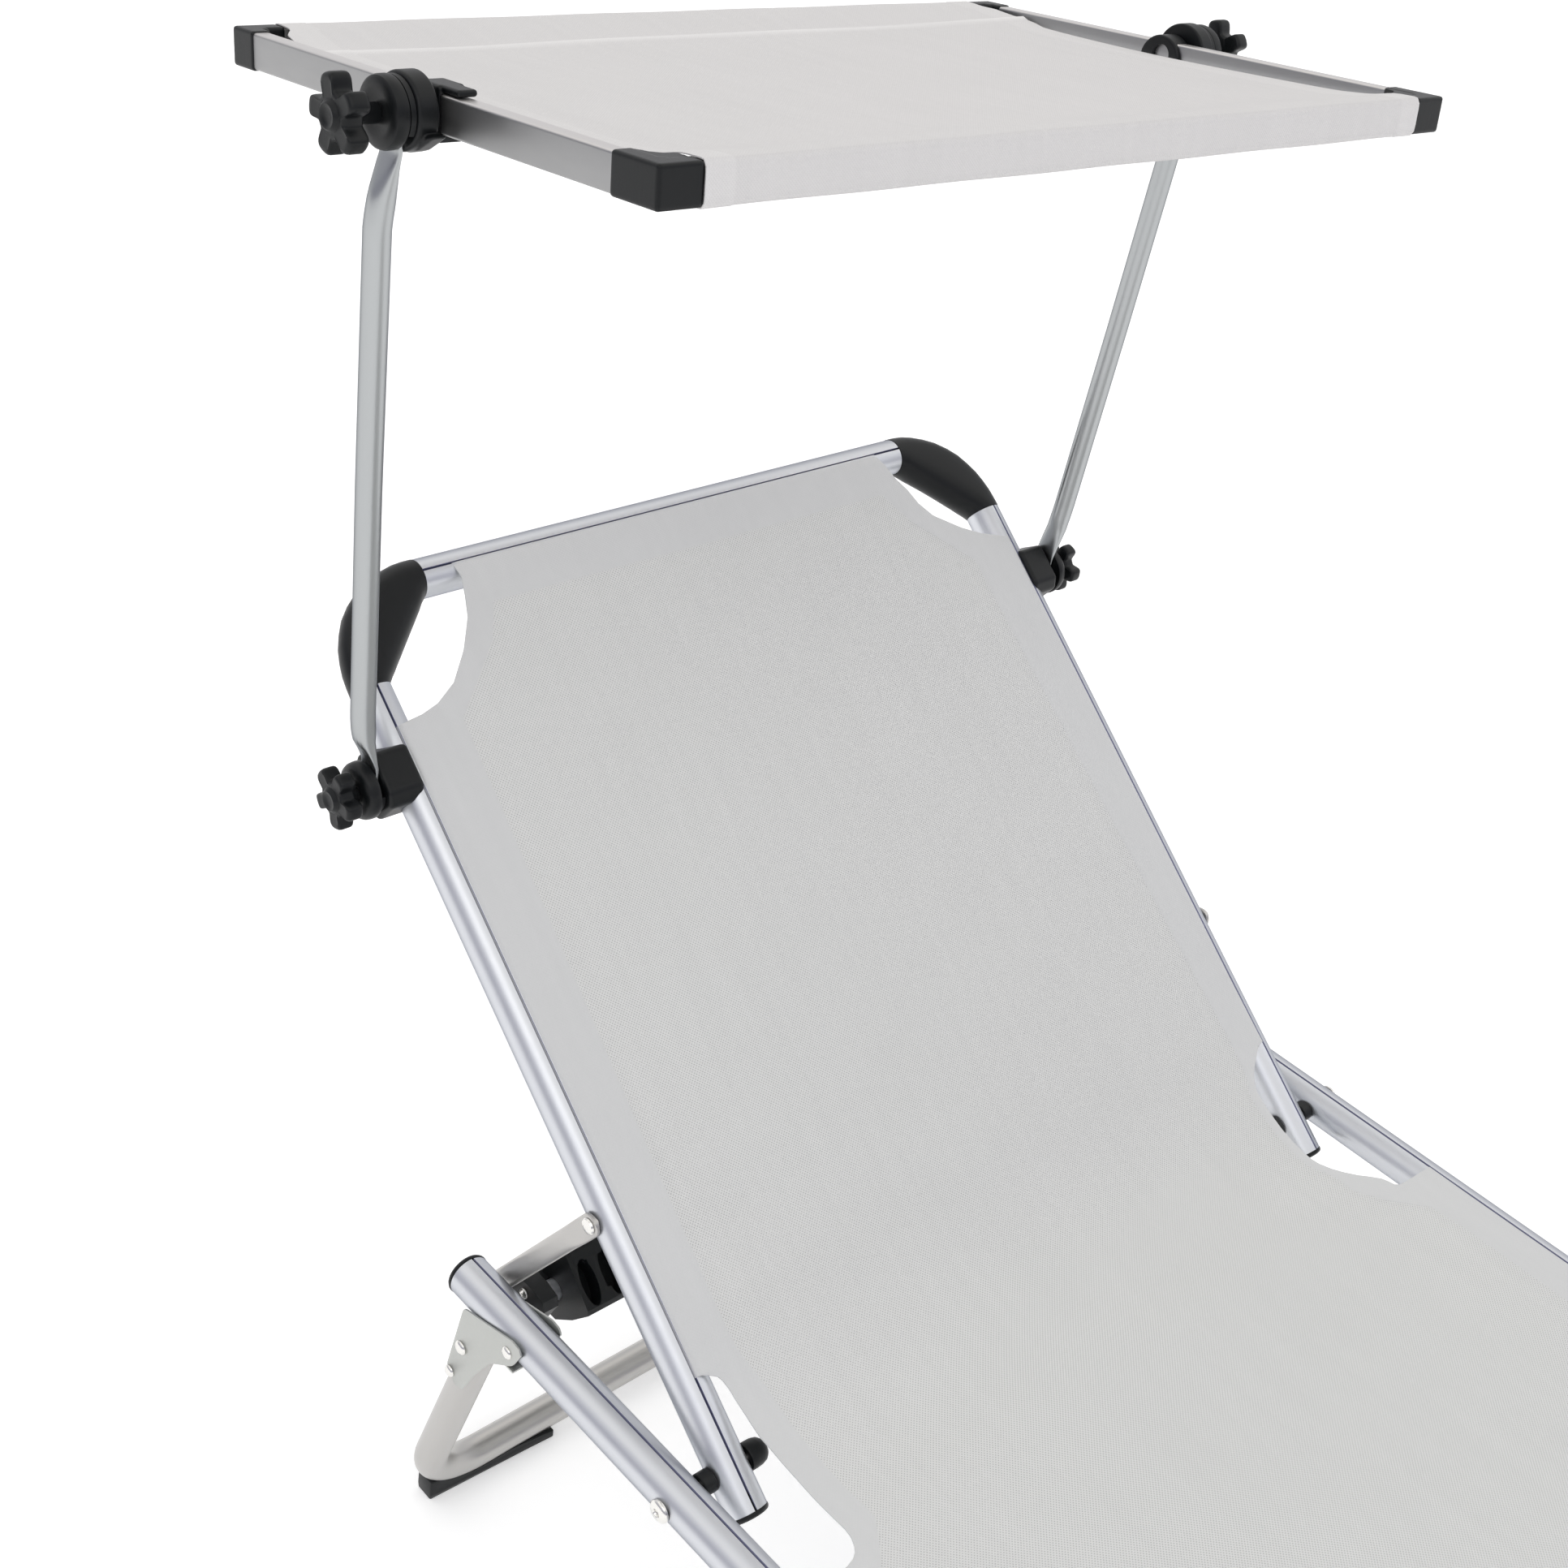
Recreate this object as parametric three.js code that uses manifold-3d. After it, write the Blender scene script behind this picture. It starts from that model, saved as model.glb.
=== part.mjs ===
// Canopy sun lounger: three-leg folding lounger in aluminium tube with a
// stretched sling and an adjustable sun canopy. Millimetres, +Z up, +Y towards
// the head end, +X towards the sitter's left when lying face up.
// Origin: on the floor, below the centre of the whole lounger.
import * as THREE from 'three';
import { mergeVertices } from 'three/addons/utils/BufferGeometryUtils.js';
import Module from 'manifold-3d';

// ---------------------------------------------------------------- dimensions
const FLOOR_TO_RAIL = 274;      // height of the main rail axis
const Y_CENTRE = -335.93;       // centre of the lounger's length, from the backrest pivot
const RAIL_X = 334;             // main rail axis, either side of the middle
const RAIL_R = 15;              // main rail, 30 mm tube
const WALL = 1.8;
const BACK_X = 295;             // backrest and foot section tube axis
const BACK_R = 14;              // backrest tube, 28 mm
const HEAD_END = 226;           // main rail end, head side of the backrest pivot
const KNEE_Y = -600;            // foot section pivot
const RECLINE = 38.8;           // backrest angle above the seat in the rest pose
const BACK_LEN = 616;           // pivot to head tube axis
const BACK_STUB = 29;           // backrest tube beyond the pivot
const FOOT_LEN = 632.35;         // knee pivot to foot end tube axis
const ELBOW_R = 14.3;           // moulded corner elbows, flush with the tubes
const LEG_R = 12.5;             // leg tube, 25 mm
const LEG_LEAN = 17.1;          // leg lean from vertical
const LEG_BEND = 58;            // bend radius of the leg's corners
const LEG_DROP = 41.5;          // leg rivet below the rail axis
const STAY_S = 174;             // stay rivet along the backrest from the pivot
const STAY_LEN = 175;           // rivet to stay cross tube
const STAY_ANGLE = -55.4;       // stay direction at rest
const CLAMP_S = 488;            // canopy lower clamp along the backrest
const UP_NEAR = [-326, 358, 751];  // canopy hinge line, outer face of the left bar
const UP_FAR = [326, 360, 735];    // the same on the right bar
const CANOPY_W = 640;           // canopy frame, outside
const CANOPY_L = 416;
const BAR_H = 21, BAR_T = 11;   // canopy bar section
const CANOPY_FRONT = [-325.4, 158, 762.5]; // front left lower outer corner
const CANOPY_YAW = -2.0, CANOPY_ROLL = 1.2, CANOPY_PITCH = -6.7;

// ---------------------------------------------------------------- helpers
const wasm = await Module();
wasm.setup();
const D = Math.PI / 180;
const V = (x, y, z) => new THREE.Vector3(x, y, z);

function solid(geometry) {
  const g = geometry.index ? geometry.toNonIndexed() : geometry.clone();
  for (const k of Object.keys(g.attributes)) if (k !== 'position') g.deleteAttribute(k);
  const m = mergeVertices(g, 1e-4);
  return new wasm.Manifold(new wasm.Mesh({
    numProp: 3,
    vertProperties: Float32Array.from(m.attributes.position.array),
    triVerts: Uint32Array.from(m.index.array),
  }));
}
function geometry(body) {
  const m = body.getMesh();
  const g = new THREE.BufferGeometry();
  g.setAttribute('position', new THREE.BufferAttribute(Float32Array.from(m.vertProperties), 3));
  g.setIndex(Array.from(m.triVerts));
  g.computeVertexNormals();
  return g;
}
// a box between two corners
function box(a, b) {
  const g = new THREE.BoxGeometry(b[0] - a[0], b[1] - a[1], b[2] - a[2]);
  g.translate((a[0] + b[0]) / 2, (a[1] + b[1]) / 2, (a[2] + b[2]) / 2);
  return g;
}
// a round bar from p to q
function rod(p, q, r, sides = 16, r2 = r) {
  const a = V(...p), b = V(...q), d = b.clone().sub(a);
  const g = new THREE.CylinderGeometry(r2, r, d.length(), sides);
  g.applyQuaternion(new THREE.Quaternion().setFromUnitVectors(V(0, 1, 0), d.clone().normalize()));
  const c = a.add(b).multiplyScalar(0.5);
  g.translate(c.x, c.y, c.z);
  return g;
}
// an outline in (y, z) pulled along x
function plateX(outline, x0, x1) {
  const s = new THREE.Shape(outline.map(([y, z]) => new THREE.Vector2(y, z)));
  const g = new THREE.ExtrudeGeometry(s, { depth: x1 - x0, bevelEnabled: false, curveSegments: 10 });
  g.applyMatrix4(new THREE.Matrix4().makeBasis(V(0, 1, 0), V(0, 0, 1), V(1, 0, 0)));
  g.translate(x0, 0, 0);
  return g;
}
// an outline in (x, y) pulled along z
function plateZ(outline, z0, z1) {
  const s = new THREE.Shape(outline.map(([x, y]) => new THREE.Vector2(x, y)));
  const g = new THREE.ExtrudeGeometry(s, { depth: z1 - z0, bevelEnabled: false });
  g.translate(0, 0, z0);
  return g;
}
// a turned part: profile in (radius, height), turned about the axis p + t * dir
function turned(profile, p, dir, sides = 16) {
  const g = new THREE.LatheGeometry(profile.map(([r, h]) => new THREE.Vector2(r, h)), sides);
  g.applyQuaternion(new THREE.Quaternion().setFromUnitVectors(V(0, 1, 0), V(...dir).normalize()));
  g.translate(...p);
  return g;
}
// a route through given points, with a ring of the section at each point
class Route extends THREE.Curve {
  constructor(points) { super(); this.points = points; }
  getPoint(t) {
    const n = this.points.length - 1, k = Math.min(Math.floor(t * n + 1e-9), n - 1);
    return this.points[k].clone().lerp(this.points[k + 1], t * n - k);
  }
  getUtoTmapping(u) { return u; }
  getTangent(t) {
    const p = this.points, n = p.length - 1, k = Math.round(t * n);
    const a = k > 0 ? p[k].clone().sub(p[k - 1]).normalize() : V(0, 0, 0);
    const b = k < n ? p[k + 1].clone().sub(p[k]).normalize() : V(0, 0, 0);
    return a.add(b).normalize();
  }
}
function circle(r, sides, hole) {
  const s = new THREE.Shape();
  for (let i = 0; i < sides; i++) {
    const a = (2 * Math.PI * i) / sides, x = r * Math.cos(a), y = r * Math.sin(a);
    if (i) s.lineTo(x, y); else s.moveTo(x, y);
  }
  s.closePath();
  if (hole) {
    const h = new THREE.Path();
    for (let i = 0; i < sides; i++) {
      const a = (-2 * Math.PI * i) / sides, x = hole * Math.cos(a), y = hole * Math.sin(a);
      if (i) h.lineTo(x, y); else h.moveTo(x, y);
    }
    h.closePath();
    s.holes.push(h);
  }
  return s;
}
function sweep(points, section) {
  return new THREE.ExtrudeGeometry(section, {
    steps: points.length - 1, extrudePath: new Route(points), bevelEnabled: false, curveSegments: 1,
  });
}
// corner points of a path, rounded with the given radius
function rounded(corners, radius, bends = 5) {
  const out = [corners[0].clone()];
  for (let i = 1; i < corners.length - 1; i++) {
    const p = corners[i], a = corners[i - 1].clone().sub(p).normalize(), b = corners[i + 1].clone().sub(p).normalize();
    const half = a.angleTo(b) / 2, cut = radius / Math.tan(half);
    const c = p.clone().add(a.clone().add(b).normalize().multiplyScalar(radius / Math.sin(half)));
    const s = p.clone().addScaledVector(a, cut).sub(c), e = p.clone().addScaledVector(b, cut).sub(c);
    const axis = s.clone().cross(e).normalize(), turn = s.angleTo(e);
    for (let k = 0; k <= bends; k++) out.push(c.clone().add(s.clone().applyAxisAngle(axis, (turn * k) / bends)));
  }
  out.push(corners.at(-1).clone());
  return out;
}
const mirrorX = (g) => {
  const m = g.clone();
  m.applyMatrix4(new THREE.Matrix4().makeScale(-1, 1, 1));
  if (!m.index) {
    const p = m.attributes.position.array;
    for (let i = 0; i < p.length; i += 9) for (let k = 0; k < 3; k++) [p[i + 3 + k], p[i + 6 + k]] = [p[i + 6 + k], p[i + 3 + k]];
  } else {
    const q = m.index.array;
    for (let i = 0; i < q.length; i += 3) [q[i + 1], q[i + 2]] = [q[i + 2], q[i + 1]];
  }
  m.computeVertexNormals();
  return m;
};

// ---------------------------------------------------------------- materials
const alu = () => new THREE.MeshStandardMaterial({ color: 0xd9dadf, roughness: 0.32, metalness: 0.9 });
const zinc = () => new THREE.MeshStandardMaterial({ color: 0xc9cac8, roughness: 0.25, metalness: 1.0 });
const sheet = () => new THREE.MeshStandardMaterial({ color: 0xadaeA8, roughness: 0.45, metalness: 0.7 });
const black = () => new THREE.MeshStandardMaterial({ color: 0x1d1f21, roughness: 0.5, metalness: 0.0 });
const sling = () => new THREE.MeshStandardMaterial({ color: 0xcdcecd, roughness: 0.8, metalness: 0.0 });
const cloth = () => new THREE.MeshStandardMaterial({ color: 0xd8d6d5, roughness: 0.85, metalness: 0.0 });

const lounger = new THREE.Group();
const frame = new THREE.Group();           // rail axis height, backrest pivot at y = 0
frame.position.set(0, -Y_CENTRE, FLOOR_TO_RAIL);
lounger.add(frame);
const backrest = new THREE.Group();        // x, along the backrest, up from it
backrest.rotation.x = RECLINE * D;
frame.add(backrest);
const foot = new THREE.Group();            // foot section, pivot at its origin
foot.position.set(0, KNEE_Y, 0);
frame.add(foot);
function put(parent, name, g, material) {
  const m = new THREE.Mesh(g, material);
  m.name = name;
  parent.add(m);
  return m;
}
const sides = [['left', 1], ['right', -1]]; // shapes are drawn at x < 0 and mirrored for the right
const both = (parent, name, g, material) => {
  put(parent, `${name}_left`, g, material());
  put(parent, `${name}_right`, mirrorX(g), material());
};

// ---------------------------------------------------------------- main rails
const railBody = solid(sweep([V(-RAIL_X, KNEE_Y + 18, 0), V(-RAIL_X, HEAD_END, 0)], circle(RAIL_R, 16, RAIL_R - WALL)))
  .subtract(solid(rod([-RAIL_X - 20, 0, 0], [-RAIL_X + 20, 0, 0], 4.5, 12)));
both(frame, 'rail', geometry(railBody), alu);

both(frame, 'rail_head_cap', turned([[0, -12], [12.8, -12], [12.8, 0.3], [15.2, 0.3], [15.2, 2.6], [13.2, 4], [0, 4.4]],
  [-RAIL_X, HEAD_END, 0], [0, 1, 0], 16), black);

// pan head, shank and domed end nut of the backrest pivot
both(frame, 'back_pivot_bolt', turned([[0, -3.8], [4.5, -3.4], [7.4, -1.6], [8, 0], [4, 0], [4, 69], [8.5, 69], [8.5, 72], [6, 75.4], [0, 76.6]],
  [-RAIL_X - RAIL_R - 0.4, 0, 0], [1, 0, 0], 16), zinc);
both(frame, 'back_pivot_spacer', turned([[4.4, 0], [12, 0], [12, 9.3], [4.4, 9.3], [4.4, 0]], [-318.6, 0, 0], [1, 0, 0], 16), black);

// ---------------------------------------------------------------- knee fittings
{
  const y0 = KNEE_Y + 18 - 0.3;
  let b = solid(turned([[0, -40], [11, -39], [15, -35.5], [16.6, -31], [16.6, 0], [12.8, 0], [12.8, 16], [0, 16]], [-RAIL_X, y0, 0], [0, 1, 0], 16));
  b = b.add(solid(rod([-RAIL_X, KNEE_Y, 0], [-309.4, KNEE_Y, 0], 11, 16)));
  b = b.add(solid(rod([-RAIL_X, KNEE_Y, 0], [-280.2, KNEE_Y, 0], 6, 16)));
  b = b.add(solid(turned([[0, 0], [9, 0], [9, 2.6], [6.5, 4], [0, 4.4]], [-280.6, KNEE_Y, 0], [1, 0, 0], 16)));
  both(frame, 'knee_joint', geometry(b), black);
}

// ---------------------------------------------------------------- legs
// The leg is a U of tube in a leaning plane; its foot is a moulded channel.
function legParts(x, lean) {
  const a = lean * D, depth = FLOOR_TO_RAIL - LEG_DROP - LEG_R - 3.6;   // rivet to bottom tube axis, vertical
  const dir = V(0, Math.sin(a), -Math.cos(a)), len = depth / Math.cos(a);
  const top = (sx) => V(sx * x, 0, 0).addScaledVector(dir, -13);
  const low = (sx) => V(sx * x, 0, 0).addScaledVector(dir, len);
  const path = rounded([top(-1), low(-1), low(1), top(1)], LEG_BEND, 5);
  const tube = solid(sweep(path, circle(LEG_R, 14, LEG_R - 1.6)))
    .subtract(solid(rod([-x - 20, 0, 0], [x + 20, 0, 0], 3.2, 8)));
  const yb = low(1).y, zb = low(1).z, f = zb - LEG_R - 3.6;
  const w = x + 8;
  // channel profile: flat sole, lips on both sides of the tube
  const lip = [[yb - 16, f], [yb + 16, f], [yb + 18.5, f + 5], [yb + 18, f + 20], [yb - 18, f + 20], [yb - 18.5, f + 5]];
  const cut = solid(sweep(path, circle(LEG_R + 0.45, 14)));
  const shoe = solid(plateX(lip, -w, w)).subtract(cut);
  const parts = shoe.decompose().sort((p, q) => q.volume() - p.volume());
  return { tube: geometry(tube), shoe: geometry(parts[0]) };
}
function addLeg(parent, name, x, y, lean) {
  const g = new THREE.Group();
  g.position.set(0, y, -LEG_DROP);
  parent.add(g);
  const p = legParts(x, lean);
  put(g, `${name}_leg_tube`, p.tube, alu());
  put(g, `${name}_leg_foot`, p.shoe, black());
}
addLeg(frame, 'head', RAIL_X, 203, LEG_LEAN);
addLeg(frame, 'mid', RAIL_X, -492, -LEG_LEAN);
addLeg(foot, 'end', BACK_X, -486, -LEG_LEAN);

// folded brackets that straddle the rail; y is counted from the leg rivet
function bracket(x, r, flip, innerLug) {
  const k = flip ? -1 : 1;
  const outer = [[5, 36], [-48.5, 52], [-56, 51], [-59, 47], [-51, 30.5], [-28, 12.5], [-12, -14], [0, -39.5], [9, -42], [19, -31.5]];
  const inner = innerLug
    ? [[5, 36], [-48.5, 52], [-56, 51], [-59, 47], [-51, 30.5], [-28, 12.5], [-16, -12], [-8, -26], [8, -30], [19, -22]]
    : outer;
  const at = (o) => o.map(([y, z]) => [k * y, z - LEG_DROP]);
  const fix = (o) => (k < 0 ? at(o).reverse() : at(o));
  const xo = -x - r - 0.4, xi = -x + r + 0.4;
  let b = solid(plateX(fix(outer), xo - 1.5, xo)).add(solid(plateX(fix(inner), xi, xi + 1.5)));
  const w0 = k < 0 ? 22 : -52, w1 = k < 0 ? 52 : -22;
  b = b.add(solid(box([xo - 1.5, w0, -r - 2], [xi + 1.5, w1, -r - 0.4])));
  return b;
}
for (const [name, parent, x, r, y, flip, lug] of [
  ['head_leg_bracket', frame, RAIL_X, RAIL_R, 203, false, true],
  ['mid_leg_bracket', frame, RAIL_X, RAIL_R, -492, true, false],
  ['end_leg_bracket', foot, BACK_X, BACK_R, -486, true, false],
]) {
  const g = geometry(bracket(x, r, flip, lug));
  const m = mirrorX(g);
  g.translate(0, y, 0); m.translate(0, y, 0);
  put(parent, `${name}_left`, g, sheet());
  put(parent, `${name}_right`, m, sheet());
}

// ---------------------------------------------------------------- recline comb
// A moulded piece on a fixed cross tube: a block next to the rail with a sloping,
// pocketed face towards the foot, and further in a toothed arm on the head side.
// The stay's cross tube drops into the notches between the teeth.
const BAR_Y = 208, BAR_Z = -34, BAR_R = 8;
const STAY_END = [STAY_S * Math.cos(RECLINE * D) + STAY_LEN * Math.cos(STAY_ANGLE * D),
  STAY_S * Math.sin(RECLINE * D) + STAY_LEN * Math.sin(STAY_ANGLE * D)];
put(frame, 'comb_cross_tube', sweep([V(-316.8, BAR_Y, BAR_Z), V(316.8, BAR_Y, BAR_Z)], circle(BAR_R, 14, 6.6)), alu());
{
  const top = [[202, 6], [212, 4], [STAY_END[0] - 8.9, -22]];
  const floor = STAY_END[1] - 8 - 2.2;                       // top of the lips, clear of the stay
  for (let i = 0; i < 3; i++) {
    const c = STAY_END[0] + i * 21;
    for (let k = 0; k <= 5; k++) {
      const q = (205 + 26 * k) * D;
      top.push([c + 8.9 * Math.cos(q), floor + 5.4 + 8.2 * Math.sin(q)]);
    }
  }
  const last = STAY_END[0] + 52, near = STAY_END[0] - 9.2;
  // toothed arm, inboard; the block with the pockets and the boss sit next to the rail
  const teeth = [[198, -22], [near, -22], ...top.slice(3), [last, floor], [last, -57], [last - 6, -61], [204, -61], [198, -46]].reverse();
  const block = [[202, 6], [212, 4], [near, -22], [near, -61], [204, -61], [186, -46], [170, -28], [171, -24]].reverse();
  const spine = [[197, -46], [198, -22], [near, -22], [near, -48], [205, -52]];
  let b = solid(plateX(block, -272, -222))
    .add(solid(plateX(teeth, -150, -110)))
    .add(solid(plateX(spine.reverse(), -226, -112)))
    .add(solid(plateX([[216, -30], [STAY_END[0] - 9.2, -30], [STAY_END[0] - 9.2, -61], [216, -61]].reverse(), -301, -260)))
    .add(solid(plateX([[198, -9], [213, -9], [STAY_END[0] - 9.2, -22], [STAY_END[0] - 9.2, -61], [200, -52], [184, -20], [186, -12]].reverse(), -301, -288)));
  b = b.subtract(solid(rod([-310, BAR_Y, BAR_Z], [-100, BAR_Y, BAR_Z], BAR_R + 0.35, 14)));
  // pockets in the sloping face
  for (const x of [-262, -247, -232]) {
    const g = new THREE.BoxGeometry(8, 24, 10);
    g.rotateX(43 * D);
    g.translate(x, 185, -9);
    b = b.subtract(solid(g));
  }
  both(frame, 'recline_comb', geometry(b), black);
}

// ---------------------------------------------------------------- fabric, seat
// Outlines in (x, y); the cut-outs clear the pivots at both ends.
const CLOTH = 2;
function seatOutline() {
  const right = [[264, 12], [264, -12], [265, -48], [267, -74], [274, -93], [290, -104], [312, -107], [RAIL_X, -107.5],
    [RAIL_X, -503], [312, -505], [290, -509], [276, -519], [269, -535], [266, -560], [265, -600]];
  return [...right, ...right.slice().reverse().map(([x, y]) => [-x, y])].reverse();
}
put(frame, 'seat_fabric', plateZ(seatOutline(), RAIL_R + 0.4, RAIL_R + 0.4 + CLOTH), sling());

// ---------------------------------------------------------------- backrest
{
  const hole = (s) => solid(rod([-BACK_X - 20, s, 0], [-BACK_X + 20, s, 0], 4.6, 12));
  const tube = solid(sweep([V(-BACK_X, -BACK_STUB, 0), V(-BACK_X, 549.6, 0)], circle(BACK_R, 16, BACK_R - WALL)))
    .subtract(hole(0)).subtract(solid(rod([-BACK_X - 20, STAY_S, 0], [-BACK_X, STAY_S, 0], 3.4, 8)));
  both(backrest, 'back_tube', geometry(tube), alu);
  both(backrest, 'back_tube_cap', turned([[0, -3.6], [12, -3.2], [14.2, -1.6], [14.2, -0.3], [11.8, -0.3], [11.8, 11], [0, 11]],
    [-BACK_X, -BACK_STUB, 0], [0, 1, 0], 16), black);
  put(backrest, 'head_tube', sweep([V(-227.6, BACK_LEN, 0), V(227.6, BACK_LEN, 0)], circle(BACK_R, 16, BACK_R - WALL)), alu());
}
// moulded elbow, flush with both tubes: a round-edged web whose outer side is a
// wide bow and whose inner side runs straight across, with a plug into each tube
function elbow(len) {
  const r = ELBOW_R, X = BACK_X, dy = len - 616;
  const outer = [[X + r, 550], [X + r - 1.2, 566], [303, 584], [292, 602.5], [274, 618], [252, 627.5], [237, 616 + r], [228, 616 + r]];
  const inner = [[X - r, 550], [273.5, 557], [265.5, 564.9], [257, 573.3], [249, 581.2], [241, 589], [234.5, 595.4], [228, 616 - r]];
  const n = 18, pos = [], idx = [];
  for (let k = 0; k < outer.length; k++) {
    const c = [(outer[k][0] + inner[k][0]) / 2, (outer[k][1] + inner[k][1]) / 2];
    const w = [(outer[k][0] - inner[k][0]) / 2, (outer[k][1] - inner[k][1]) / 2], hw = Math.hypot(...w);
    for (let i = 0; i < n; i++) {
      const a = (2 * Math.PI * i) / n, ca = Math.cos(a), sa = Math.sin(a);
      // a stadium where the web is wider than it is thick, a circle at the ends
      const t = (Math.sign(ca) * (hw - r) * (Math.abs(ca) < 1e-9 ? 0 : Math.min(1, Math.abs(ca) * 3)) + r * ca) / hw;
      pos.push(-(c[0] + w[0] * t), c[1] + w[1] * t + dy, r * sa);
    }
  }
  const K = outer.length;
  for (let k = 0; k < K - 1; k++) for (let i = 0; i < n; i++) {
    const a = k * n + i, b = k * n + ((i + 1) % n);
    idx.push(a, b, b + n, a, b + n, a + n);
  }
  for (let i = 1; i < n - 1; i++) { idx.push(0, i + 1, i); idx.push((K - 1) * n, (K - 1) * n + i, (K - 1) * n + i + 1); }
  const g = new THREE.BufferGeometry();
  g.setAttribute('position', new THREE.BufferAttribute(Float32Array.from(pos), 3));
  g.setIndex(idx);
  let b = solid(g);
  if (b.volume() < 0) { for (let i = 0; i < idx.length; i += 3) [idx[i + 1], idx[i + 2]] = [idx[i + 2], idx[i + 1]]; g.setIndex(idx); b = solid(g); }
  b = b.add(solid(rod([-X, len - 90, 0], [-X, len - 60, 0], BACK_R - WALL - 0.7, 14)));
  b = b.add(solid(rod([-204, len, 0], [-232, len, 0], BACK_R - WALL - 0.7, 14)));
  return geometry(b);
}
both(backrest, 'head_elbow', elbow(BACK_LEN), black);

// the sheet hangs in the slots on top of the side tubes and lies over the head tube
function slingOutline() {
  const right = [[263, 32], [268, 43], [280, 54], [BACK_X, 61], [BACK_X, 519], [280, 523], [252, 537], [228, 556], [213, 577], [205, 600], [203, BACK_LEN]];
  return [...right, ...right.slice().reverse().map(([x, y]) => [-x, y])];
}
put(backrest, 'backrest_fabric', plateZ(slingOutline(), BACK_R + 0.4, BACK_R + 0.4 + CLOTH), sling());

// ---------------------------------------------------------------- stay
{
  const a = (STAY_ANGLE - RECLINE) * D, dir = V(0, Math.cos(a), Math.sin(a)), across = V(0, -Math.sin(a), Math.cos(a));
  const at = (t, w) => { const p = V(0, STAY_S, 0).addScaledVector(dir, t).addScaledVector(across, w); return [p.y, p.z]; };
  const arm = [];
  for (let i = 0; i <= 8; i++) { const q = (90 + 22.5 * i) * D; arm.push(at(8 * Math.cos(q), 8 * Math.sin(q))); }
  for (let i = 0; i <= 8; i++) { const q = (-90 + 22.5 * i) * D; arm.push(at(STAY_LEN + 8 * Math.cos(q), 8 * Math.sin(q))); }
  const e = at(STAY_LEN, 0);
  let b = solid(plateX(arm, -316.4, -310.4)).add(solid(plateX(arm, 310.4, 316.4)))
    .add(solid(rod([-312, e[0], e[1]], [312, e[0], e[1]], 7.9, 14)));
  put(backrest, 'stay_bow', geometry(b), alu());
}

// ---------------------------------------------------------------- foot section
{
  const tube = solid(sweep([V(-BACK_X, -(FOOT_LEN - 66.4), 0), V(-BACK_X, 27, 0)], circle(BACK_R, 16, BACK_R - WALL)))
    .subtract(solid(rod([-BACK_X - 20, 0, 0], [-BACK_X + 20, 0, 0], 6.5, 12)));
  both(foot, 'foot_tube', geometry(tube), alu);
  put(foot, 'foot_end_tube', sweep([V(-227.6, -FOOT_LEN, 0), V(227.6, -FOOT_LEN, 0)], circle(BACK_R, 16, BACK_R - WALL)), alu());
  const e = elbow(FOOT_LEN);
  e.rotateZ(Math.PI);
  put(foot, 'foot_elbow_right', e, black());
  put(foot, 'foot_elbow_left', mirrorX(e), black());
  const right = [[266, -70], [272, -80], [BACK_X, -88], [BACK_X, -533], [280, -537], [252, -551], [228, -570], [213, -591], [205, -614], [203, -FOOT_LEN]];
  const o = [...right, ...right.slice().reverse().map(([x, y]) => [-x, y])].reverse();
  put(foot, 'foot_fabric', plateZ(o, BACK_R + 0.4, BACK_R + 0.4 + CLOTH), sling());
}

// ---------------------------------------------------------------- canopy clamps and arms
function star(r, thick, lobes = 5) {
  const pts = [];
  for (let i = 0; i < 40; i++) {
    const a = (2 * Math.PI * i) / 40, q = r * (0.8 + 0.2 * Math.cos(lobes * a)) ;
    pts.push(new THREE.Vector2(q * Math.cos(a), q * Math.sin(a)));
  }
  const g = new THREE.ExtrudeGeometry(new THREE.Shape(pts), { depth: thick, bevelEnabled: false });
  g.applyMatrix4(new THREE.Matrix4().makeBasis(V(0, 1, 0), V(0, 0, 1), V(1, 0, 0)));
  return g;
}
const LOW_Y = CLAMP_S * Math.cos(RECLINE * D), LOW_Z = CLAMP_S * Math.sin(RECLINE * D);
{
  // lower clamp, in the backrest's own directions: saddle, hub and outer disc
  const hex = [];
  for (const [s, n] of [[-20, -13], [-12, -17.5], [16, -17.5], [24, -2], [17, 17.5], [-12, 17.5], [-20, 10]]) hex.push([CLAMP_S + s, n]);
  let b = solid(plateX(hex, -323.4, -296))
    .subtract(solid(rod([-BACK_X, CLAMP_S - 60, 0], [-BACK_X, CLAMP_S + 60, 0], BACK_R + 0.35, 16)));
  b = b.add(solid(rod([-323.4, CLAMP_S, 0], [-320, CLAMP_S, 0], 16, 18)));
  b = b.add(solid(rod([-330, CLAMP_S, 0], [-318, CLAMP_S, 0], 5, 12)));
  b = b.add(solid(turned([[0, 0], [15.5, 0], [18.5, 2], [19.5, 5], [19.5, 9], [0, 9]], [-337, CLAMP_S, 0], [1, 0, 0], 20)));
  both(backrest, 'lower_clamp', geometry(b), black);
  // star knob with its stem
  const k = solid(star(21, 12).translate(-354, 0, 0)).add(solid(rod([-343, 0, 0], [-337.4, 0, 0], 7, 12)));
  const kg = geometry(k), km = mirrorX(kg);
  kg.translate(0, CLAMP_S, 0); km.translate(0, CLAMP_S, 0);
  put(backrest, 'lower_knob_left', kg, black());
  put(backrest, 'lower_knob_right', km, black());
}
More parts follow.
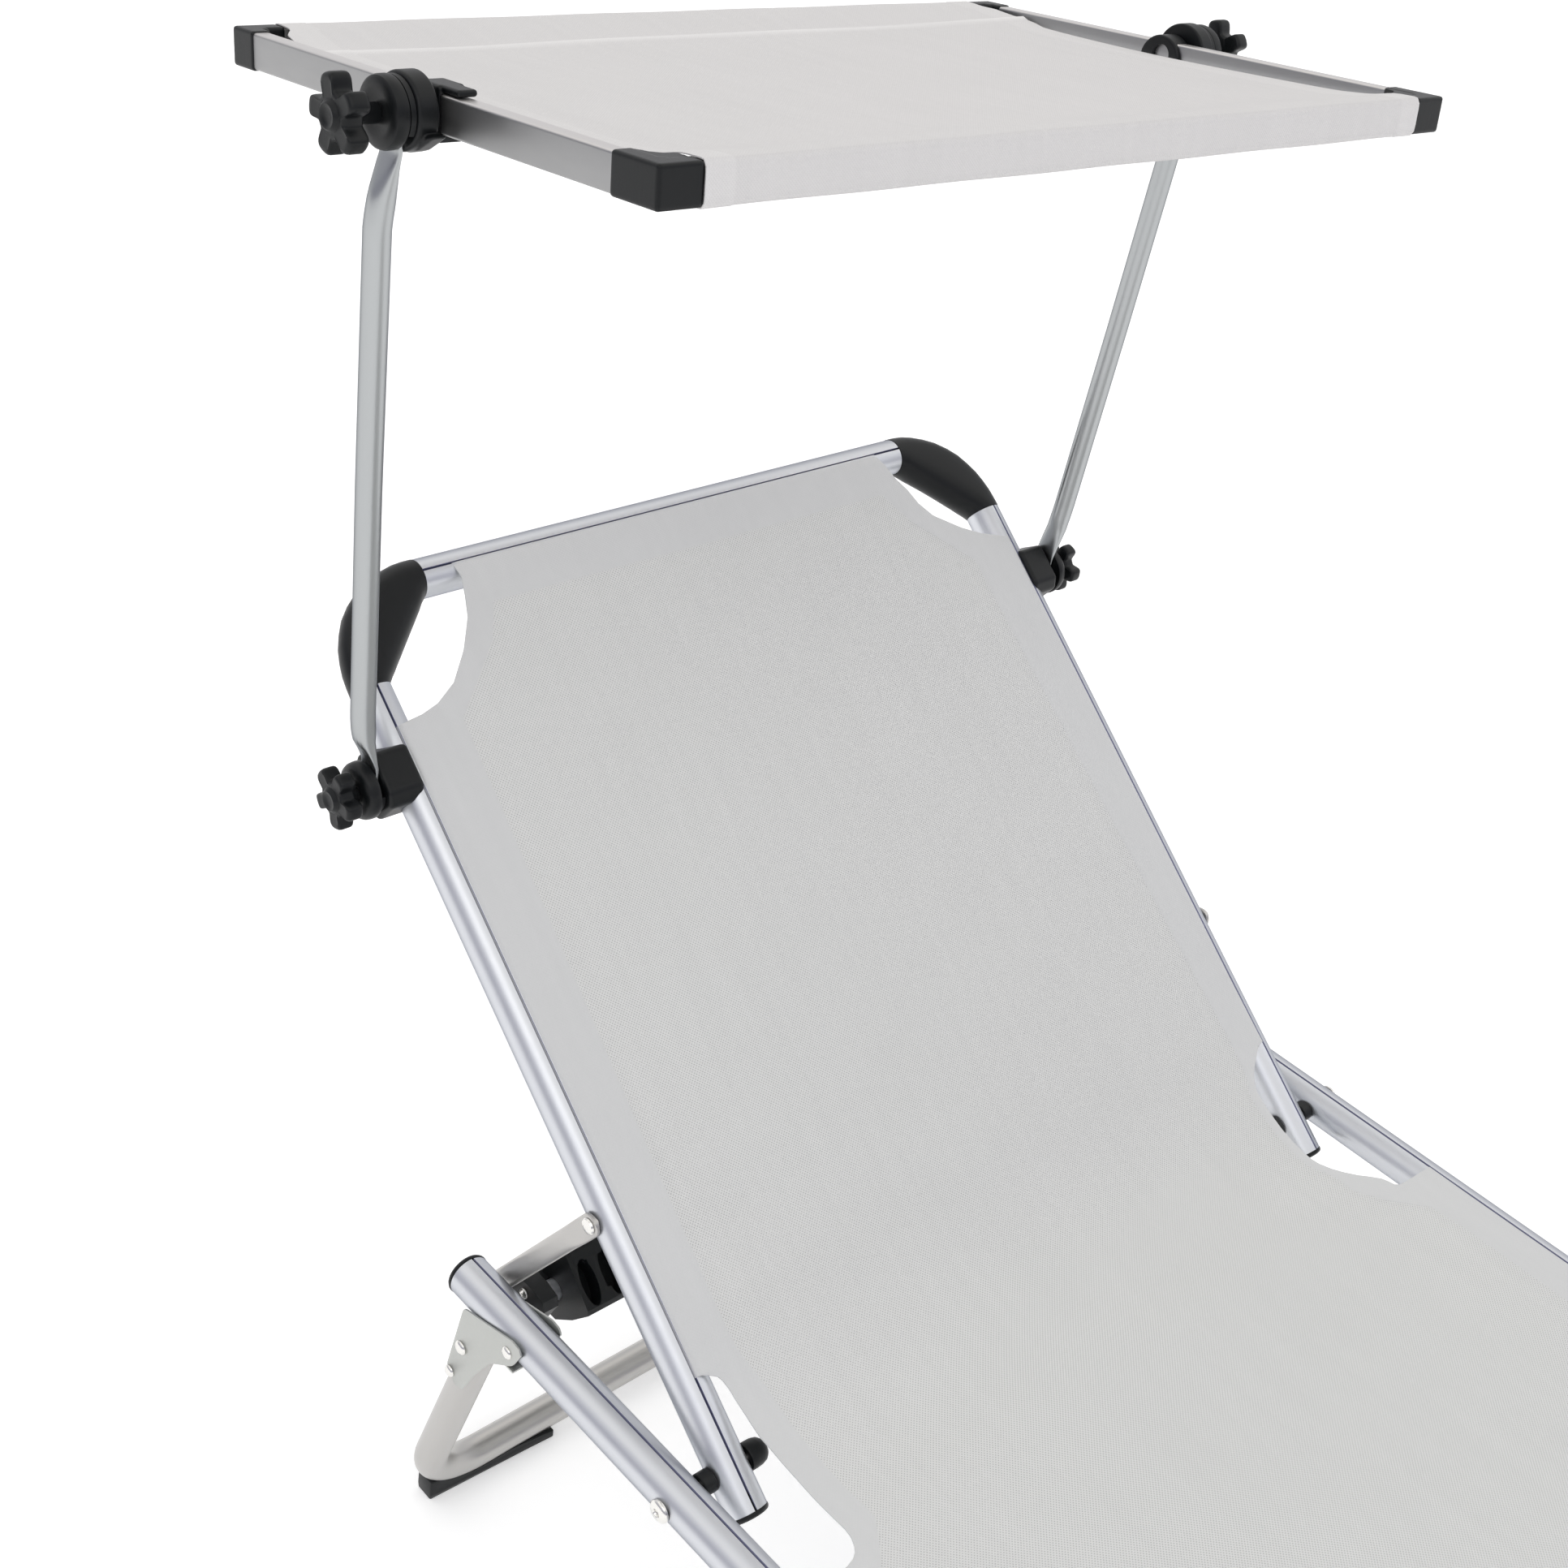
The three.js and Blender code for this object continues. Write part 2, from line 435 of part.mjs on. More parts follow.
// upper clamps turn about the line between the two bars' clamp centres
const hinge = V(UP_FAR[0] - UP_NEAR[0], UP_FAR[1] - UP_NEAR[1], UP_FAR[2] - UP_NEAR[2]).normalize();
const tilt = new THREE.Quaternion().setFromUnitVectors(V(1, 0, 0), hinge);
const canopyTurn = new THREE.Matrix4().makeRotationZ(CANOPY_YAW * D)
  .multiply(new THREE.Matrix4().makeRotationY(CANOPY_ROLL * D))
  .multiply(new THREE.Matrix4().makeRotationX(CANOPY_PITCH * D))
  .setPosition(...CANOPY_FRONT);
const inCanopy = (g) => { g.applyMatrix4(canopyTurn); return g; };
const sideBarBox = (x0, grow = 0) => inCanopy(box([x0 - grow, -60, -grow], [x0 + BAR_T + grow, CANOPY_L + 60, BAR_H + grow]));

for (const [side, s, at] of [['left', -1, UP_NEAR], ['right', 1, UP_FAR]]) {
  // local x runs outwards from the bar's face along the hinge line
  const place = (g) => {
    if (s < 0) g = g.clone(); else g = mirrorX(g);
    g.applyQuaternion(tilt); g.translate(...at); return g;
  };
  const drum = place(turned([[0, 0], [21, 0], [21, 12], [19, 12.6], [0, 12.6]], [-12.6, 0, 0], [1, 0, 0], 22));
  const hub = place(rod([-19, 0, 0], [-11, 0, 0], 5, 12));
  const disc = place(turned([[0, 0], [14, 0], [18, 2.5], [19, 5.5], [19, 9.3], [0, 9.3]], [-26, 0, 0], [1, 0, 0], 20));
  // jaw: a loop that the bar slides through
  const jaw = inCanopy((() => {
    const x0 = s < 0 ? -1.2 : CANOPY_W - BAR_T - 5.2, x1 = s < 0 ? BAR_T + 5.2 : CANOPY_W + 1.2;
    const inv = V(...at).applyMatrix4(canopyTurn.clone().invert());
    return box([x0, inv.y - 15, -5], [x1, inv.y + 15, BAR_H + 5]);
  })());
  const slot = sideBarBox(s < 0 ? 0 : CANOPY_W - BAR_T, 0.45);
  let b = solid(drum).add(solid(hub)).add(solid(disc)).add(solid(jaw)).subtract(solid(slot));
  const parts = b.decompose().sort((p, q) => q.volume() - p.volume());
  put(frame, `upper_clamp_${side}`, geometry(parts[0]), black());
  const k = solid(place(star(22, 14).translate(-54, 0, 0))).add(solid(place(rod([-41, 0, 0], [-26.4, 0, 0], 5.5, 12))));
  put(frame, `upper_knob_${side}`, geometry(k), black());

  // arm: tube with a flattened eye at each end
  const eyeLow = V(s * 325.6, LOW_Y, LOW_Z);
  const eyeTop = V(-14.9 * 1, 0, 0);
  if (s > 0) eyeTop.x = 14.9;
  eyeTop.applyQuaternion(tilt).add(V(...at));
  const up = V(0, eyeTop.y - eyeLow.y, eyeTop.z - eyeLow.z), L = up.length();
  up.normalize();
  const along = (t, x) => V(x, eyeLow.y, eyeLow.z).addScaledVector(up, t);
  const xs = (t) => s * (325.6 + ((Math.abs(eyeTop.x) + 6 - 325.6 - 6) * t) / L);
  const path = [along(27, s * 327.4), along(40, s * 331), along(58, xs(58) + s * 6.5), along(L / 2, xs(L / 2) + s * 8),
    along(L - 62, xs(L - 62) + s * 8), along(L - 44, xs(L - 44) + s * 5.5), along(L - 29, xs(L - 29) + s * 2.6)];
  const tubeArm = solid(sweep(path, circle(8, 12)));
  const eye = (c, quat, t0, t1, dirUp) => {
    // stadium plate in the plane across the hinge
    const o = [];
    for (let i = 0; i <= 6; i++) { const q = (i * 30) * D; o.push([8.8 * Math.cos(q) * 1, -8.8 * Math.sin(q)]); }
    const far = 36;
    const out = o.concat([[-7.6, far], [7.6, far]]).map(([w, h]) => [w, h]);
    const g = plateX(out.reverse(), -1.6, 1.6);
    const m = new THREE.Matrix4();
    const q2 = new THREE.Quaternion();
    const ex = V(1, 0, 0).applyQuaternion(quat), ez = dirUp.clone().sub(ex.clone().multiplyScalar(dirUp.dot(ex))).normalize();
    const ey = ez.clone().cross(ex).normalize();
    m.makeBasis(ex, ey, ez); m.setPosition(c); void q2;
    g.applyMatrix4(m);
    const hole = rod([c.x - 6 * ex.x, c.y - 6 * ex.y, c.z - 6 * ex.z], [c.x + 6 * ex.x, c.y + 6 * ex.y, c.z + 6 * ex.z], 5.35, 12);
    return [solid(g), solid(hole)];
  };
  const [e1, h1] = eye(eyeLow, new THREE.Quaternion(), 0, 0, up);
  const [e2, h2] = eye(eyeTop, tilt, 0, 0, up.clone().negate());
  const armBody = tubeArm.add(e1).add(e2).subtract(h1).subtract(h2);
  put(frame, `canopy_arm_${side}`, geometry(armBody), alu());
}

// ---------------------------------------------------------------- canopy frame
{
  const W = CANOPY_W, L = CANOPY_L, H = BAR_H, T = BAR_T, SIDE = 38, REAR = 24, END = 28, t = 1.4;
  const tubeY = (x0, y0, y1) => solid(box([x0, y0, 0], [x0 + T, y1, H])).subtract(solid(box([x0 + t, y0 - 1, t], [x0 + T - t, y1 + 1, H - t])));
  const tubeXb = (x0, x1, y0) => solid(box([x0, y0, 0], [x1, y0 + T, H])).subtract(solid(box([x0 - 1, y0 + t, t], [x1 + 1, y0 + T - t, H - t])));
  put(frame, 'canopy_bar_left', inCanopy(geometry(tubeY(0, SIDE, L - REAR))), alu());
  put(frame, 'canopy_bar_right', inCanopy(geometry(tubeY(W - T, SIDE, L - REAR))), alu());
  put(frame, 'canopy_front_bar', inCanopy(geometry(tubeXb(END, W - END, 0))), alu());
  put(frame, 'canopy_rear_bar', inCanopy(geometry(tubeXb(END, W - END, L - T))), alu());
  const corner = (fx, fy) => {
    const e = 0.9, q = 0.3, S = fy ? REAR : SIDE;
    let b = solid(box([-e, -e, -e], [T + e, S - q, H + e])).add(solid(box([-e, -e, -e], [END - q, T + e, H + e])))
      .add(solid(box([t + q, S - 2, t + q], [T - t - q, S + 16, H - t - q])))
      .add(solid(box([END - 2, t + q, t + q], [END + 16, T - t - q, H - t - q])));
    b = b.subtract(solid(box([T + e, T + e, -5], [90, 90, 40]).translate(0, 0, 0)));
    let g = geometry(b);
    if (fx) { g = mirrorX(g); g.translate(W, 0, 0); }
    if (fy) { g.rotateZ(Math.PI); g = mirrorX(g); g.translate(0, L, 0); }
    return inCanopy(g);
  };
  put(frame, 'canopy_corner_front_left', corner(false, false), black());
  put(frame, 'canopy_corner_front_right', corner(true, false), black());
  put(frame, 'canopy_corner_rear_left', corner(false, true), black());
  put(frame, 'canopy_corner_rear_right', corner(true, true), black());
  // fabric: one sheet over the two cross bars, with a sleeve round each
  const a = -2.2, o = 0.4, x0 = END + 1.5, x1 = W - END - 1.5;
  const ring = (y0) => solid(box([x0, y0 + a, a], [x1, y0 + T - a, H - a])).subtract(solid(box([x0 - 1, y0 - o, -o], [x1 + 1, y0 + T + o, H + o])));
  const fabric = solid(box([x0, T, H + o], [x1, L - T, H - a])).add(ring(0)).add(ring(L - T));
  put(frame, 'canopy_fabric', inCanopy(geometry(fabric)), cloth());
}

lounger.updateMatrixWorld(true);
export default lounger;
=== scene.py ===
import math

import bmesh
import bpy
import numpy as np
from mathutils import Matrix, Vector


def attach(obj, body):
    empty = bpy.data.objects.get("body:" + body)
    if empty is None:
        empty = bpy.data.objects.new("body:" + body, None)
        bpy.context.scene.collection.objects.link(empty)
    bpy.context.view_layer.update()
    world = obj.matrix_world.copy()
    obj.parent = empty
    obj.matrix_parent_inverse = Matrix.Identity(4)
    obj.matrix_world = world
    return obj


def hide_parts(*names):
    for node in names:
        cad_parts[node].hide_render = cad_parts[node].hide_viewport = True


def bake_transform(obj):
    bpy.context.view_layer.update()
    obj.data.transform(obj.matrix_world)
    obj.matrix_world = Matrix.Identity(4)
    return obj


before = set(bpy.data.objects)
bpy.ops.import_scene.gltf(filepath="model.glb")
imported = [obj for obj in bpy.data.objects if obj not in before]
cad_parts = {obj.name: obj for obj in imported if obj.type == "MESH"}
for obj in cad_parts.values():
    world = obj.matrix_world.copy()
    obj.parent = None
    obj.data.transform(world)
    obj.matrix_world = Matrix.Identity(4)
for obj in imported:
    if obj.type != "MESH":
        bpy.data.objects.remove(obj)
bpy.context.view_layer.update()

D = math.pi / 180
THETA = 38.8 * D                       # backrest angle in the rest pose


def T(x, y, z):
    return Matrix.Translation((x, y, z))


# working frames, in millimetres: rails and backrest pivot, backrest, foot section, canopy
FR = T(0, 0.33593, 0.274) @ Matrix.Scale(0.001, 4)
BK = FR @ Matrix.Rotation(THETA, 4, "X")
FT = FR @ T(0, -600, 0)
CAN = FR @ T(-325.4, 158, 762.5) @ Matrix.Rotation(-2 * D, 4, "Z") @ Matrix.Rotation(1.2 * D, 4, "Y") @ Matrix.Rotation(-6.7 * D, 4, "X")
UP_NEAR, UP_FAR = Vector((-326, 358, 751)), Vector((326, 360, 735))
HINGE = (UP_FAR - UP_NEAR).normalized()
HROT = Vector((1, 0, 0)).rotation_difference(HINGE).to_matrix().to_4x4()
MX = Matrix.Scale(-1, 4, Vector((1, 0, 0)))
SIDES = (("left", Matrix.Identity(4)), ("right", MX))   # shapes are drawn for x < 0


# ---------------------------------------------------------------- materials
def material(name, base, rough, metal=0.0, spec=0.5):
    m = bpy.data.materials.new(name)
    m.use_nodes = True
    b = m.node_tree.nodes["Principled BSDF"]
    b.inputs["Base Color"].default_value = (*base, 1)
    b.inputs["Roughness"].default_value = rough
    b.inputs["Metallic"].default_value = metal
    b.inputs["Specular IOR Level"].default_value = spec
    return m, m.node_tree, b


def node(nt, kind, **kw):
    n = nt.nodes.new(kind)
    for k, v in kw.items():
        setattr(n, k, v)
    return n


def val(nt, op, a, b=None):
    n = node(nt, "ShaderNodeMath", operation=op)
    for i, v in enumerate((a, b)):
        if v is None:
            continue
        if isinstance(v, (int, float)):
            n.inputs[i].default_value = v
        else:
            nt.links.new(v, n.inputs[i])
    return n.outputs[0]


def grain(nt, bsdf, scale, strength, distance=0.0002, stretch=(1, 1, 1), rough=None):
    """fine surface relief, and a little change of gloss with it"""
    tc = node(nt, "ShaderNodeTexCoord")
    mp = node(nt, "ShaderNodeMapping")
    mp.inputs["Scale"].default_value = stretch
    nz = node(nt, "ShaderNodeTexNoise")
    nz.inputs["Scale"].default_value = scale
    nz.inputs["Detail"].default_value = 3
    bp = node(nt, "ShaderNodeBump")
    bp.inputs["Strength"].default_value = strength
    bp.inputs["Distance"].default_value = distance
    nt.links.new(tc.outputs["Object"], mp.inputs["Vector"])
    nt.links.new(mp.outputs["Vector"], nz.inputs["Vector"])
    nt.links.new(nz.outputs["Fac"], bp.inputs["Height"])
    nt.links.new(bp.outputs["Normal"], bsdf.inputs["Normal"])
    if rough:
        mr = node(nt, "ShaderNodeMapRange")
        mr.inputs["To Min"].default_value = rough[0]
        mr.inputs["To Max"].default_value = rough[1]
        nt.links.new(nz.outputs["Fac"], mr.inputs["Value"])
        nt.links.new(mr.outputs["Result"], bsdf.inputs["Roughness"])


ALU, nt, b = material("anodised_aluminium", (0.66, 0.675, 0.705), 0.36, 1.0)
b.inputs["Specular Tint"].default_value = (0.30, 0.31, 0.35, 1)    # the oxide layer darkens the glancing edges
grain(nt, b, 260, 0.012, 0.0001, (1, 0.25, 1), (0.35, 0.41))
ALU_WARM, nt, b = material("aluminium_leg_tube", (0.50, 0.49, 0.475), 0.36, 1.0)
grain(nt, b, 260, 0.012, 0.0001, (1, 1, 0.25), (0.33, 0.39))
ARMMAT, nt, b = material("aluminium_support_arm", (0.43, 0.445, 0.45), 0.33, 1.0)
b.inputs["Specular Tint"].default_value = (0.35, 0.36, 0.38, 1)
grain(nt, b, 260, 0.012, 0.0001, (1, 1, 0.25), (0.27, 0.32))
BARMAT, nt, b = material("aluminium_flat_bar", (0.35, 0.35, 0.352), 0.40, 1.0)
grain(nt, b, 220, 0.02, 0.0001, (1, 0.2, 1), (0.36, 0.45))
# painted highlight: faces turned upwards get a lighter colour than the sides, standing in for the light the bar's top
# catches
tc_ = node(nt, "ShaderNodeTexCoord")
sz_ = node(nt, "ShaderNodeSeparateXYZ")
nt.links.new(tc_.outputs["Normal"], sz_.inputs[0])
bar_top_highlight_ramp = node(nt, "ShaderNodeMapRange", interpolation_type="SMOOTHSTEP")
bar_top_highlight_ramp.inputs["From Min"].default_value = 0.35
bar_top_highlight_ramp.inputs["From Max"].default_value = 0.9
nt.links.new(sz_.outputs[2], bar_top_highlight_ramp.inputs["Value"])
bar_top_highlight_mix = node(nt, "ShaderNodeMix", data_type="RGBA")
bar_top_highlight_mix.inputs["A"].default_value = (0.35, 0.35, 0.352, 1)
# painted highlight colour for the bar's upward faces
bar_top_highlight_mix.inputs["B"].default_value = (0.66, 0.64, 0.63, 1)
nt.links.new(bar_top_highlight_ramp.outputs["Result"], bar_top_highlight_mix.inputs["Factor"])
nt.links.new(bar_top_highlight_mix.outputs["Result"], b.inputs["Base Color"])
SLOT, nt, b = material("aluminium_slot_inside", (0.40, 0.41, 0.58), 0.5, 0.2)
grain(nt, b, 300, 0.05)
ZINC, nt, b = material("zinc_plated_steel", (0.80, 0.79, 0.76), 0.20, 1.0)
grain(nt, b, 500, 0.08, 0.0001, rough=(0.16, 0.26))
SHEET, nt, b = material("pressed_sheet_metal", (0.50, 0.51, 0.49), 0.44, 1.0)
grain(nt, b, 320, 0.12, 0.0002, rough=(0.38, 0.48))
BLACK, nt, b = material("black_moulded_plastic", (0.005, 0.006, 0.0068), 0.40, 0.0, 0.28)
grain(nt, b, 900, 0.18, 0.0001, rough=(0.36, 0.46))


def weave(name, base, hem, pitch, depth, see_through, lines):
    """woven sheet: rows of small raised dots, hems smoother and a little darker"""
    m, nt, b = material(name, base, 0.78, 0.0, 0.25)
    L = nt.links
    uv = node(nt, "ShaderNodeUVMap", uv_map="flat")
    sp = node(nt, "ShaderNodeSeparateXYZ")
    L.new(uv.outputs["UV"], sp.inputs[0])
    k = 2 * math.pi / pitch
    u, v = sp.outputs[0], sp.outputs[1]
    # alternate rows are shifted by half a pitch
    su = val(nt, "SINE", val(nt, "MULTIPLY", u, k))
    sv = val(nt, "SINE", val(nt, "MULTIPLY", v, k * lines))
    dots = val(nt, "MULTIPLY", su, sv)                      # -1..1
    at = node(nt, "ShaderNodeAttribute", attribute_name="hem")
    hemf = at.outputs["Fac"]
    plain = val(nt, "SUBTRACT", 1.0, val(nt, "MULTIPLY", hemf, 0.75))
    relief = val(nt, "MULTIPLY", dots, plain)
    nz = node(nt, "ShaderNodeTexNoise")
    nz.inputs["Scale"].default_value = 14
    nz.inputs["Detail"].default_value = 2
    nz2 = node(nt, "ShaderNodeTexNoise")
    nz2.inputs["Scale"].default_value = 120
    mp = node(nt, "ShaderNodeMapping")
    mp.inputs["Scale"].default_value = (1, 0.06, 1)
    L.new(uv.outputs["UV"], nz.inputs["Vector"])
    L.new(uv.outputs["UV"], mp.inputs["Vector"])
    L.new(mp.outputs["Vector"], nz2.inputs["Vector"])
    tone = val(nt, "ADD", val(nt, "MULTIPLY", relief, 0.028), val(nt, "MULTIPLY", val(nt, "SUBTRACT", nz.outputs["Fac"], 0.5), 0.03))
    tone = val(nt, "ADD", tone, val(nt, "MULTIPLY", val(nt, "SUBTRACT", nz2.outputs["Fac"], 0.5), 0.05))
    fac = val(nt, "ADD", tone, 1.0)
    mix = node(nt, "ShaderNodeMix", data_type="RGBA")
    mix.inputs["A"].default_value = (*base, 1)
    mix.inputs["B"].default_value = (*hem, 1)
    L.new(hemf, mix.inputs["Factor"])
    sc = node(nt, "ShaderNodeVectorMath", operation="SCALE")
    L.new(mix.outputs["Result"], sc.inputs[0])
    L.new(fac, sc.inputs["Scale"])
    L.new(sc.outputs[0], b.inputs["Base Color"])
    bp = node(nt, "ShaderNodeBump")
    bp.inputs["Strength"].default_value = 0.35
    bp.inputs["Distance"].default_value = depth
    L.new(relief, bp.inputs["Height"])
    L.new(bp.outputs["Normal"], b.inputs["Normal"])
    # the pores between the yarns let a little of what is behind show
    tr = node(nt, "ShaderNodeBsdfTransparent")
    ms = node(nt, "ShaderNodeMixShader")
    hole = node(nt, "ShaderNodeMapRange", interpolation_type="SMOOTHSTEP")
    hole.inputs["From Min"].default_value = 0.30
    hole.inputs["From Max"].default_value = 0.62
    L.new(dots, hole.inputs["Value"])
    pore = val(nt, "MULTIPLY", val(nt, "MULTIPLY", hole.outputs["Result"], val(nt, "SUBTRACT", 1.0, hemf)), see_through)
    L.new(pore, ms.inputs[0])
    L.new(b.outputs[0], ms.inputs[1])
    L.new(tr.outputs[0], ms.inputs[2])
    L.new(ms.outputs[0], nt.nodes["Material Output"].inputs["Surface"])
    return m


SLING = weave("sling_mesh_fabric", (0.715, 0.718, 0.708), (0.655, 0.66, 0.658), 0.0026, 0.0004, 0.38, 1.0)
CLOTH = weave("canopy_woven_cloth", (0.695, 0.683, 0.677), (0.84, 0.83, 0.82), 0.0019, 0.0002, 0.0, 1.0)


# ---------------------------------------------------------------- mesh helpers
def mesh_object(name, verts, faces, M=None, uvs=None, hem=None, mats=(), face_mats=None, smooth=35):
    me = bpy.data.meshes.new(name)
    pts = [tuple(M @ Vector(v)) for v in verts] if M is not None else [tuple(v) for v in verts]
    if M is not None and M.to_3x3().determinant() < 0:
        faces = [tuple(reversed(f)) for f in faces]
    me.from_pydata(pts, [], faces)
    if uvs is not None:
        lay = me.uv_layers.new(name="flat")
        idx = np.empty(len(me.loops), dtype=np.int32)
        me.loops.foreach_get("vertex_index", idx)
        lay.data.foreach_set("uv", np.asarray(uvs, dtype=np.float32)[idx].ravel())
    if hem is not None:
        a = me.attributes.new("hem", "FLOAT", "POINT")
        a.data.foreach_set("value", np.asarray(hem, dtype=np.float32))
    for m in mats:
        me.materials.append(m)
    if face_mats is not None:
        me.polygons.foreach_set("material_index", np.asarray(face_mats, dtype=np.int32))
    bm = bmesh.new()
    bm.from_mesh(me)
    bmesh.ops.recalc_face_normals(bm, faces=bm.faces)
    bm.to_mesh(me)
    bm.free()
    shade(me, smooth)
    o = bpy.data.objects.new(name, me)
    bpy.context.scene.collection.objects.link(o)
    return o


def shade(me, angle):
    me.polygons.foreach_set("use_smooth", [True] * len(me.polygons))
    me.set_sharp_from_angle(angle=angle * D)


def bevel(o, width, segments=3, angle=30):
    m = o.modifiers.new("edge", "BEVEL")
    m.width = width * 0.001
    m.segments = segments
    m.limit_method = "ANGLE"
    m.angle_limit = angle * D
    m.harden_normals = False
    m.use_clamp_overlap = True
    return o


def frozen(o, smooth=40):
    """the object's mesh with its modifiers applied"""
    bpy.context.view_layer.update()
    dg = bpy.context.evaluated_depsgraph_get()
    me = bpy.data.meshes.new_from_object(o.evaluated_get(dg))
    old = o.data
    o.modifiers.clear()
    o.data = me
    bpy.data.meshes.remove(old)
    shade(me, smooth)
    return o


def settle(o, body, mat=None, replaces=()):
    if mat is not None:
        o.data.materials.clear()
        o.data.materials.append(mat)
    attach(o, body)
    if replaces:
        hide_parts(*replaces)
    return o


def lathe(profile, sides=48, x0=0.0):
    """turned about the x axis; profile in (radius, distance outwards), outwards is -x"""
    verts, faces = [], []
    n = len(profile)
    rings = []
    for r, h in profile:
        if r < 1e-6:
            rings.append([len(verts)])
            verts.append((x0 - h, 0, 0))
        else:
            rings.append(list(range(len(verts), len(verts) + sides)))
            verts += [(x0 - h, r * math.cos(2 * math.pi * i / sides), r * math.sin(2 * math.pi * i / sides)) for i in range(sides)]
    for a, b in zip(rings, rings[1:]):
        for i in range(sides):
            j = (i + 1) % sides
            if len(a) == 1 and len(b) == 1:
                continue
            if len(a) == 1:
                faces.append((a[0], b[i], b[j]))
            elif len(b) == 1:
                faces.append((a[i], a[j], b[0]))
            else:
                faces.append((a[i], a[j], b[j], b[i]))
    return verts, faces


def shift(vf, d):
    return [(v[0] + d[0], v[1] + d[1], v[2] + d[2]) for v in vf[0]], vf[1]


def rbox(a, b, r=0.0, seg=3):
    """a box between two corners, edges rounded by r"""
    bm = bmesh.new()
    bmesh.ops.create_cube(bm, size=1)
    for v in bm.verts:
        v.co = Vector([(a[i] + b[i]) / 2 + v.co[i] * (b[i] - a[i]) for i in range(3)])
    if r:
        bmesh.ops.bevel(bm, geom=bm.edges[:], offset=r, segments=seg, profile=0.5, affect="EDGES")
    bm.verts.ensure_lookup_table()
    out = [tuple(v.co) for v in bm.verts], [tuple(v.index for v in f.verts) for f in bm.faces]
    bm.free()
    return out


def prism(outline, x0, x1, r=0.0, seg=3):
    """an outline in (y, z) pulled along x, edges rounded by r"""
    n = len(outline)
    bm = bmesh.new()
    lo = [bm.verts.new((x0, y, z)) for y, z in outline]
    hi = [bm.verts.new((x1, y, z)) for y, z in outline]
    bm.faces.new(lo)
    bm.faces.new(hi)
    for i in range(n):
        bm.faces.new((lo[i], lo[(i + 1) % n], hi[(i + 1) % n], hi[i]))
    bmesh.ops.recalc_face_normals(bm, faces=bm.faces)
    if r:
        bmesh.ops.bevel(bm, geom=bm.edges[:], offset=r, segments=seg, profile=0.5, affect="EDGES", clamp_overlap=True)
    bm.verts.index_update()
    out = [tuple(v.co) for v in bm.verts], [tuple(v.index for v in f.verts) for f in bm.faces]
    bm.free()
    return out


def sweep(path, section, ups=None, closed_ends=True):
    """path: points; section: (a, b) loop, or one loop per point; ups: the a-direction at each point"""
    P = [Vector(p) for p in path]
    n = len(P)
    tang = []
    for i in range(n):
        d = Vector((0, 0, 0))
        if i:
            d += (P[i] - P[i - 1]).normalized()
        if i < n - 1:
            d += (P[i + 1] - P[i]).normalized()
        tang.append(d.normalized())
    up = Vector(ups) if ups is not None else (Vector((0, 1, 0)) if abs(tang[0].y) < 0.9 else Vector((0, 0, 1)))
    verts, faces = [], []
    per = callable(section)
    m = None
    a = (up - tang[0] * up.dot(tang[0])).normalized()
    for i in range(n):
        if i:
            q = tang[i - 1].rotation_difference(tang[i])
            a = q @ a
        a = (a - tang[i] * a.dot(tang[i])).normalized()
        b = tang[i].cross(a)
        loop = section(i) if per else section
        m = len(loop)
        verts += [tuple(P[i] + a * p + b * q) for p, q in loop]
    for i in range(n - 1):
        for k in range(m):
            j = (k + 1) % m
            faces.append((i * m + k, i * m + j, (i + 1) * m + j, (i + 1) * m + k))
    if closed_ends:
        faces.append(tuple(reversed(range(m))))
        faces.append(tuple((n - 1) * m + k for k in range(m)))
    return verts, faces


def ring(r, n=40, r2=None):
    r2 = r if r2 is None else r2
    return [(r * math.cos(2 * math.pi * i / n), r2 * math.sin(2 * math.pi * i / n)) for i in range(n)]


def arc_path(corners, radius, steps=14):
    out = [Vector(corners[0])]
    C = [Vector(c) for c in corners]
    for i in range(1, len(C) - 1):
        p = C[i]
        a, b = (C[i - 1] - p).normalized(), (C[i + 1] - p).normalized()
        half = a.angle(b) / 2
        cut = radius / math.tan(half)
        c = p + (a + b).normalized() * (radius / math.sin(half))
        s, e = p + a * cut - c, p + b * cut - c
        q = s.rotation_difference(e)
        ax, an = q.to_axis_angle()
        for k in range(steps + 1):
            out.append(c + Matrix.Rotation(an * k / steps, 3, ax) @ s)
    out.append(C[-1])
    return out


def join(name, parts):
    """parts: (verts, faces, matrix) put in one mesh, in the row frame"""
    V_, F_ = [], []
    for v, f, M in parts:
        n = len(V_)
        flip = M.to_3x3().determinant() < 0
        V_ += [tuple(M @ Vector(p)) for p in v]
        F_ += [tuple(n + i for i in (reversed(t) if flip else t)) for t in f]
    return mesh_object(name, V_, F_)


def fuse(o, voxel=0.7, rounds=4, keep=0.35):
    """melts joined shapes into one moulded form"""
    m = o.modifiers.new("v", "REMESH")
    m.mode = "VOXEL"
    m.voxel_size = voxel * 0.001
    s = o.modifiers.new("s", "SMOOTH")
    s.factor = 0.5
    s.iterations = rounds
    d = o.modifiers.new("d", "DECIMATE")
    d.ratio = keep
    return frozen(o, 50)


def carve(o, tool):
    """cuts the tool's shape out of the object, then drops the tool"""
    m = o.modifiers.new("cut", "BOOLEAN")
    m.operation = "DIFFERENCE"
    m.solver = "EXACT"
    m.object = tool
    frozen(o, 40)
    me = tool.data
    bpy.data.objects.remove(tool)
    bpy.data.meshes.remove(me)
    return o


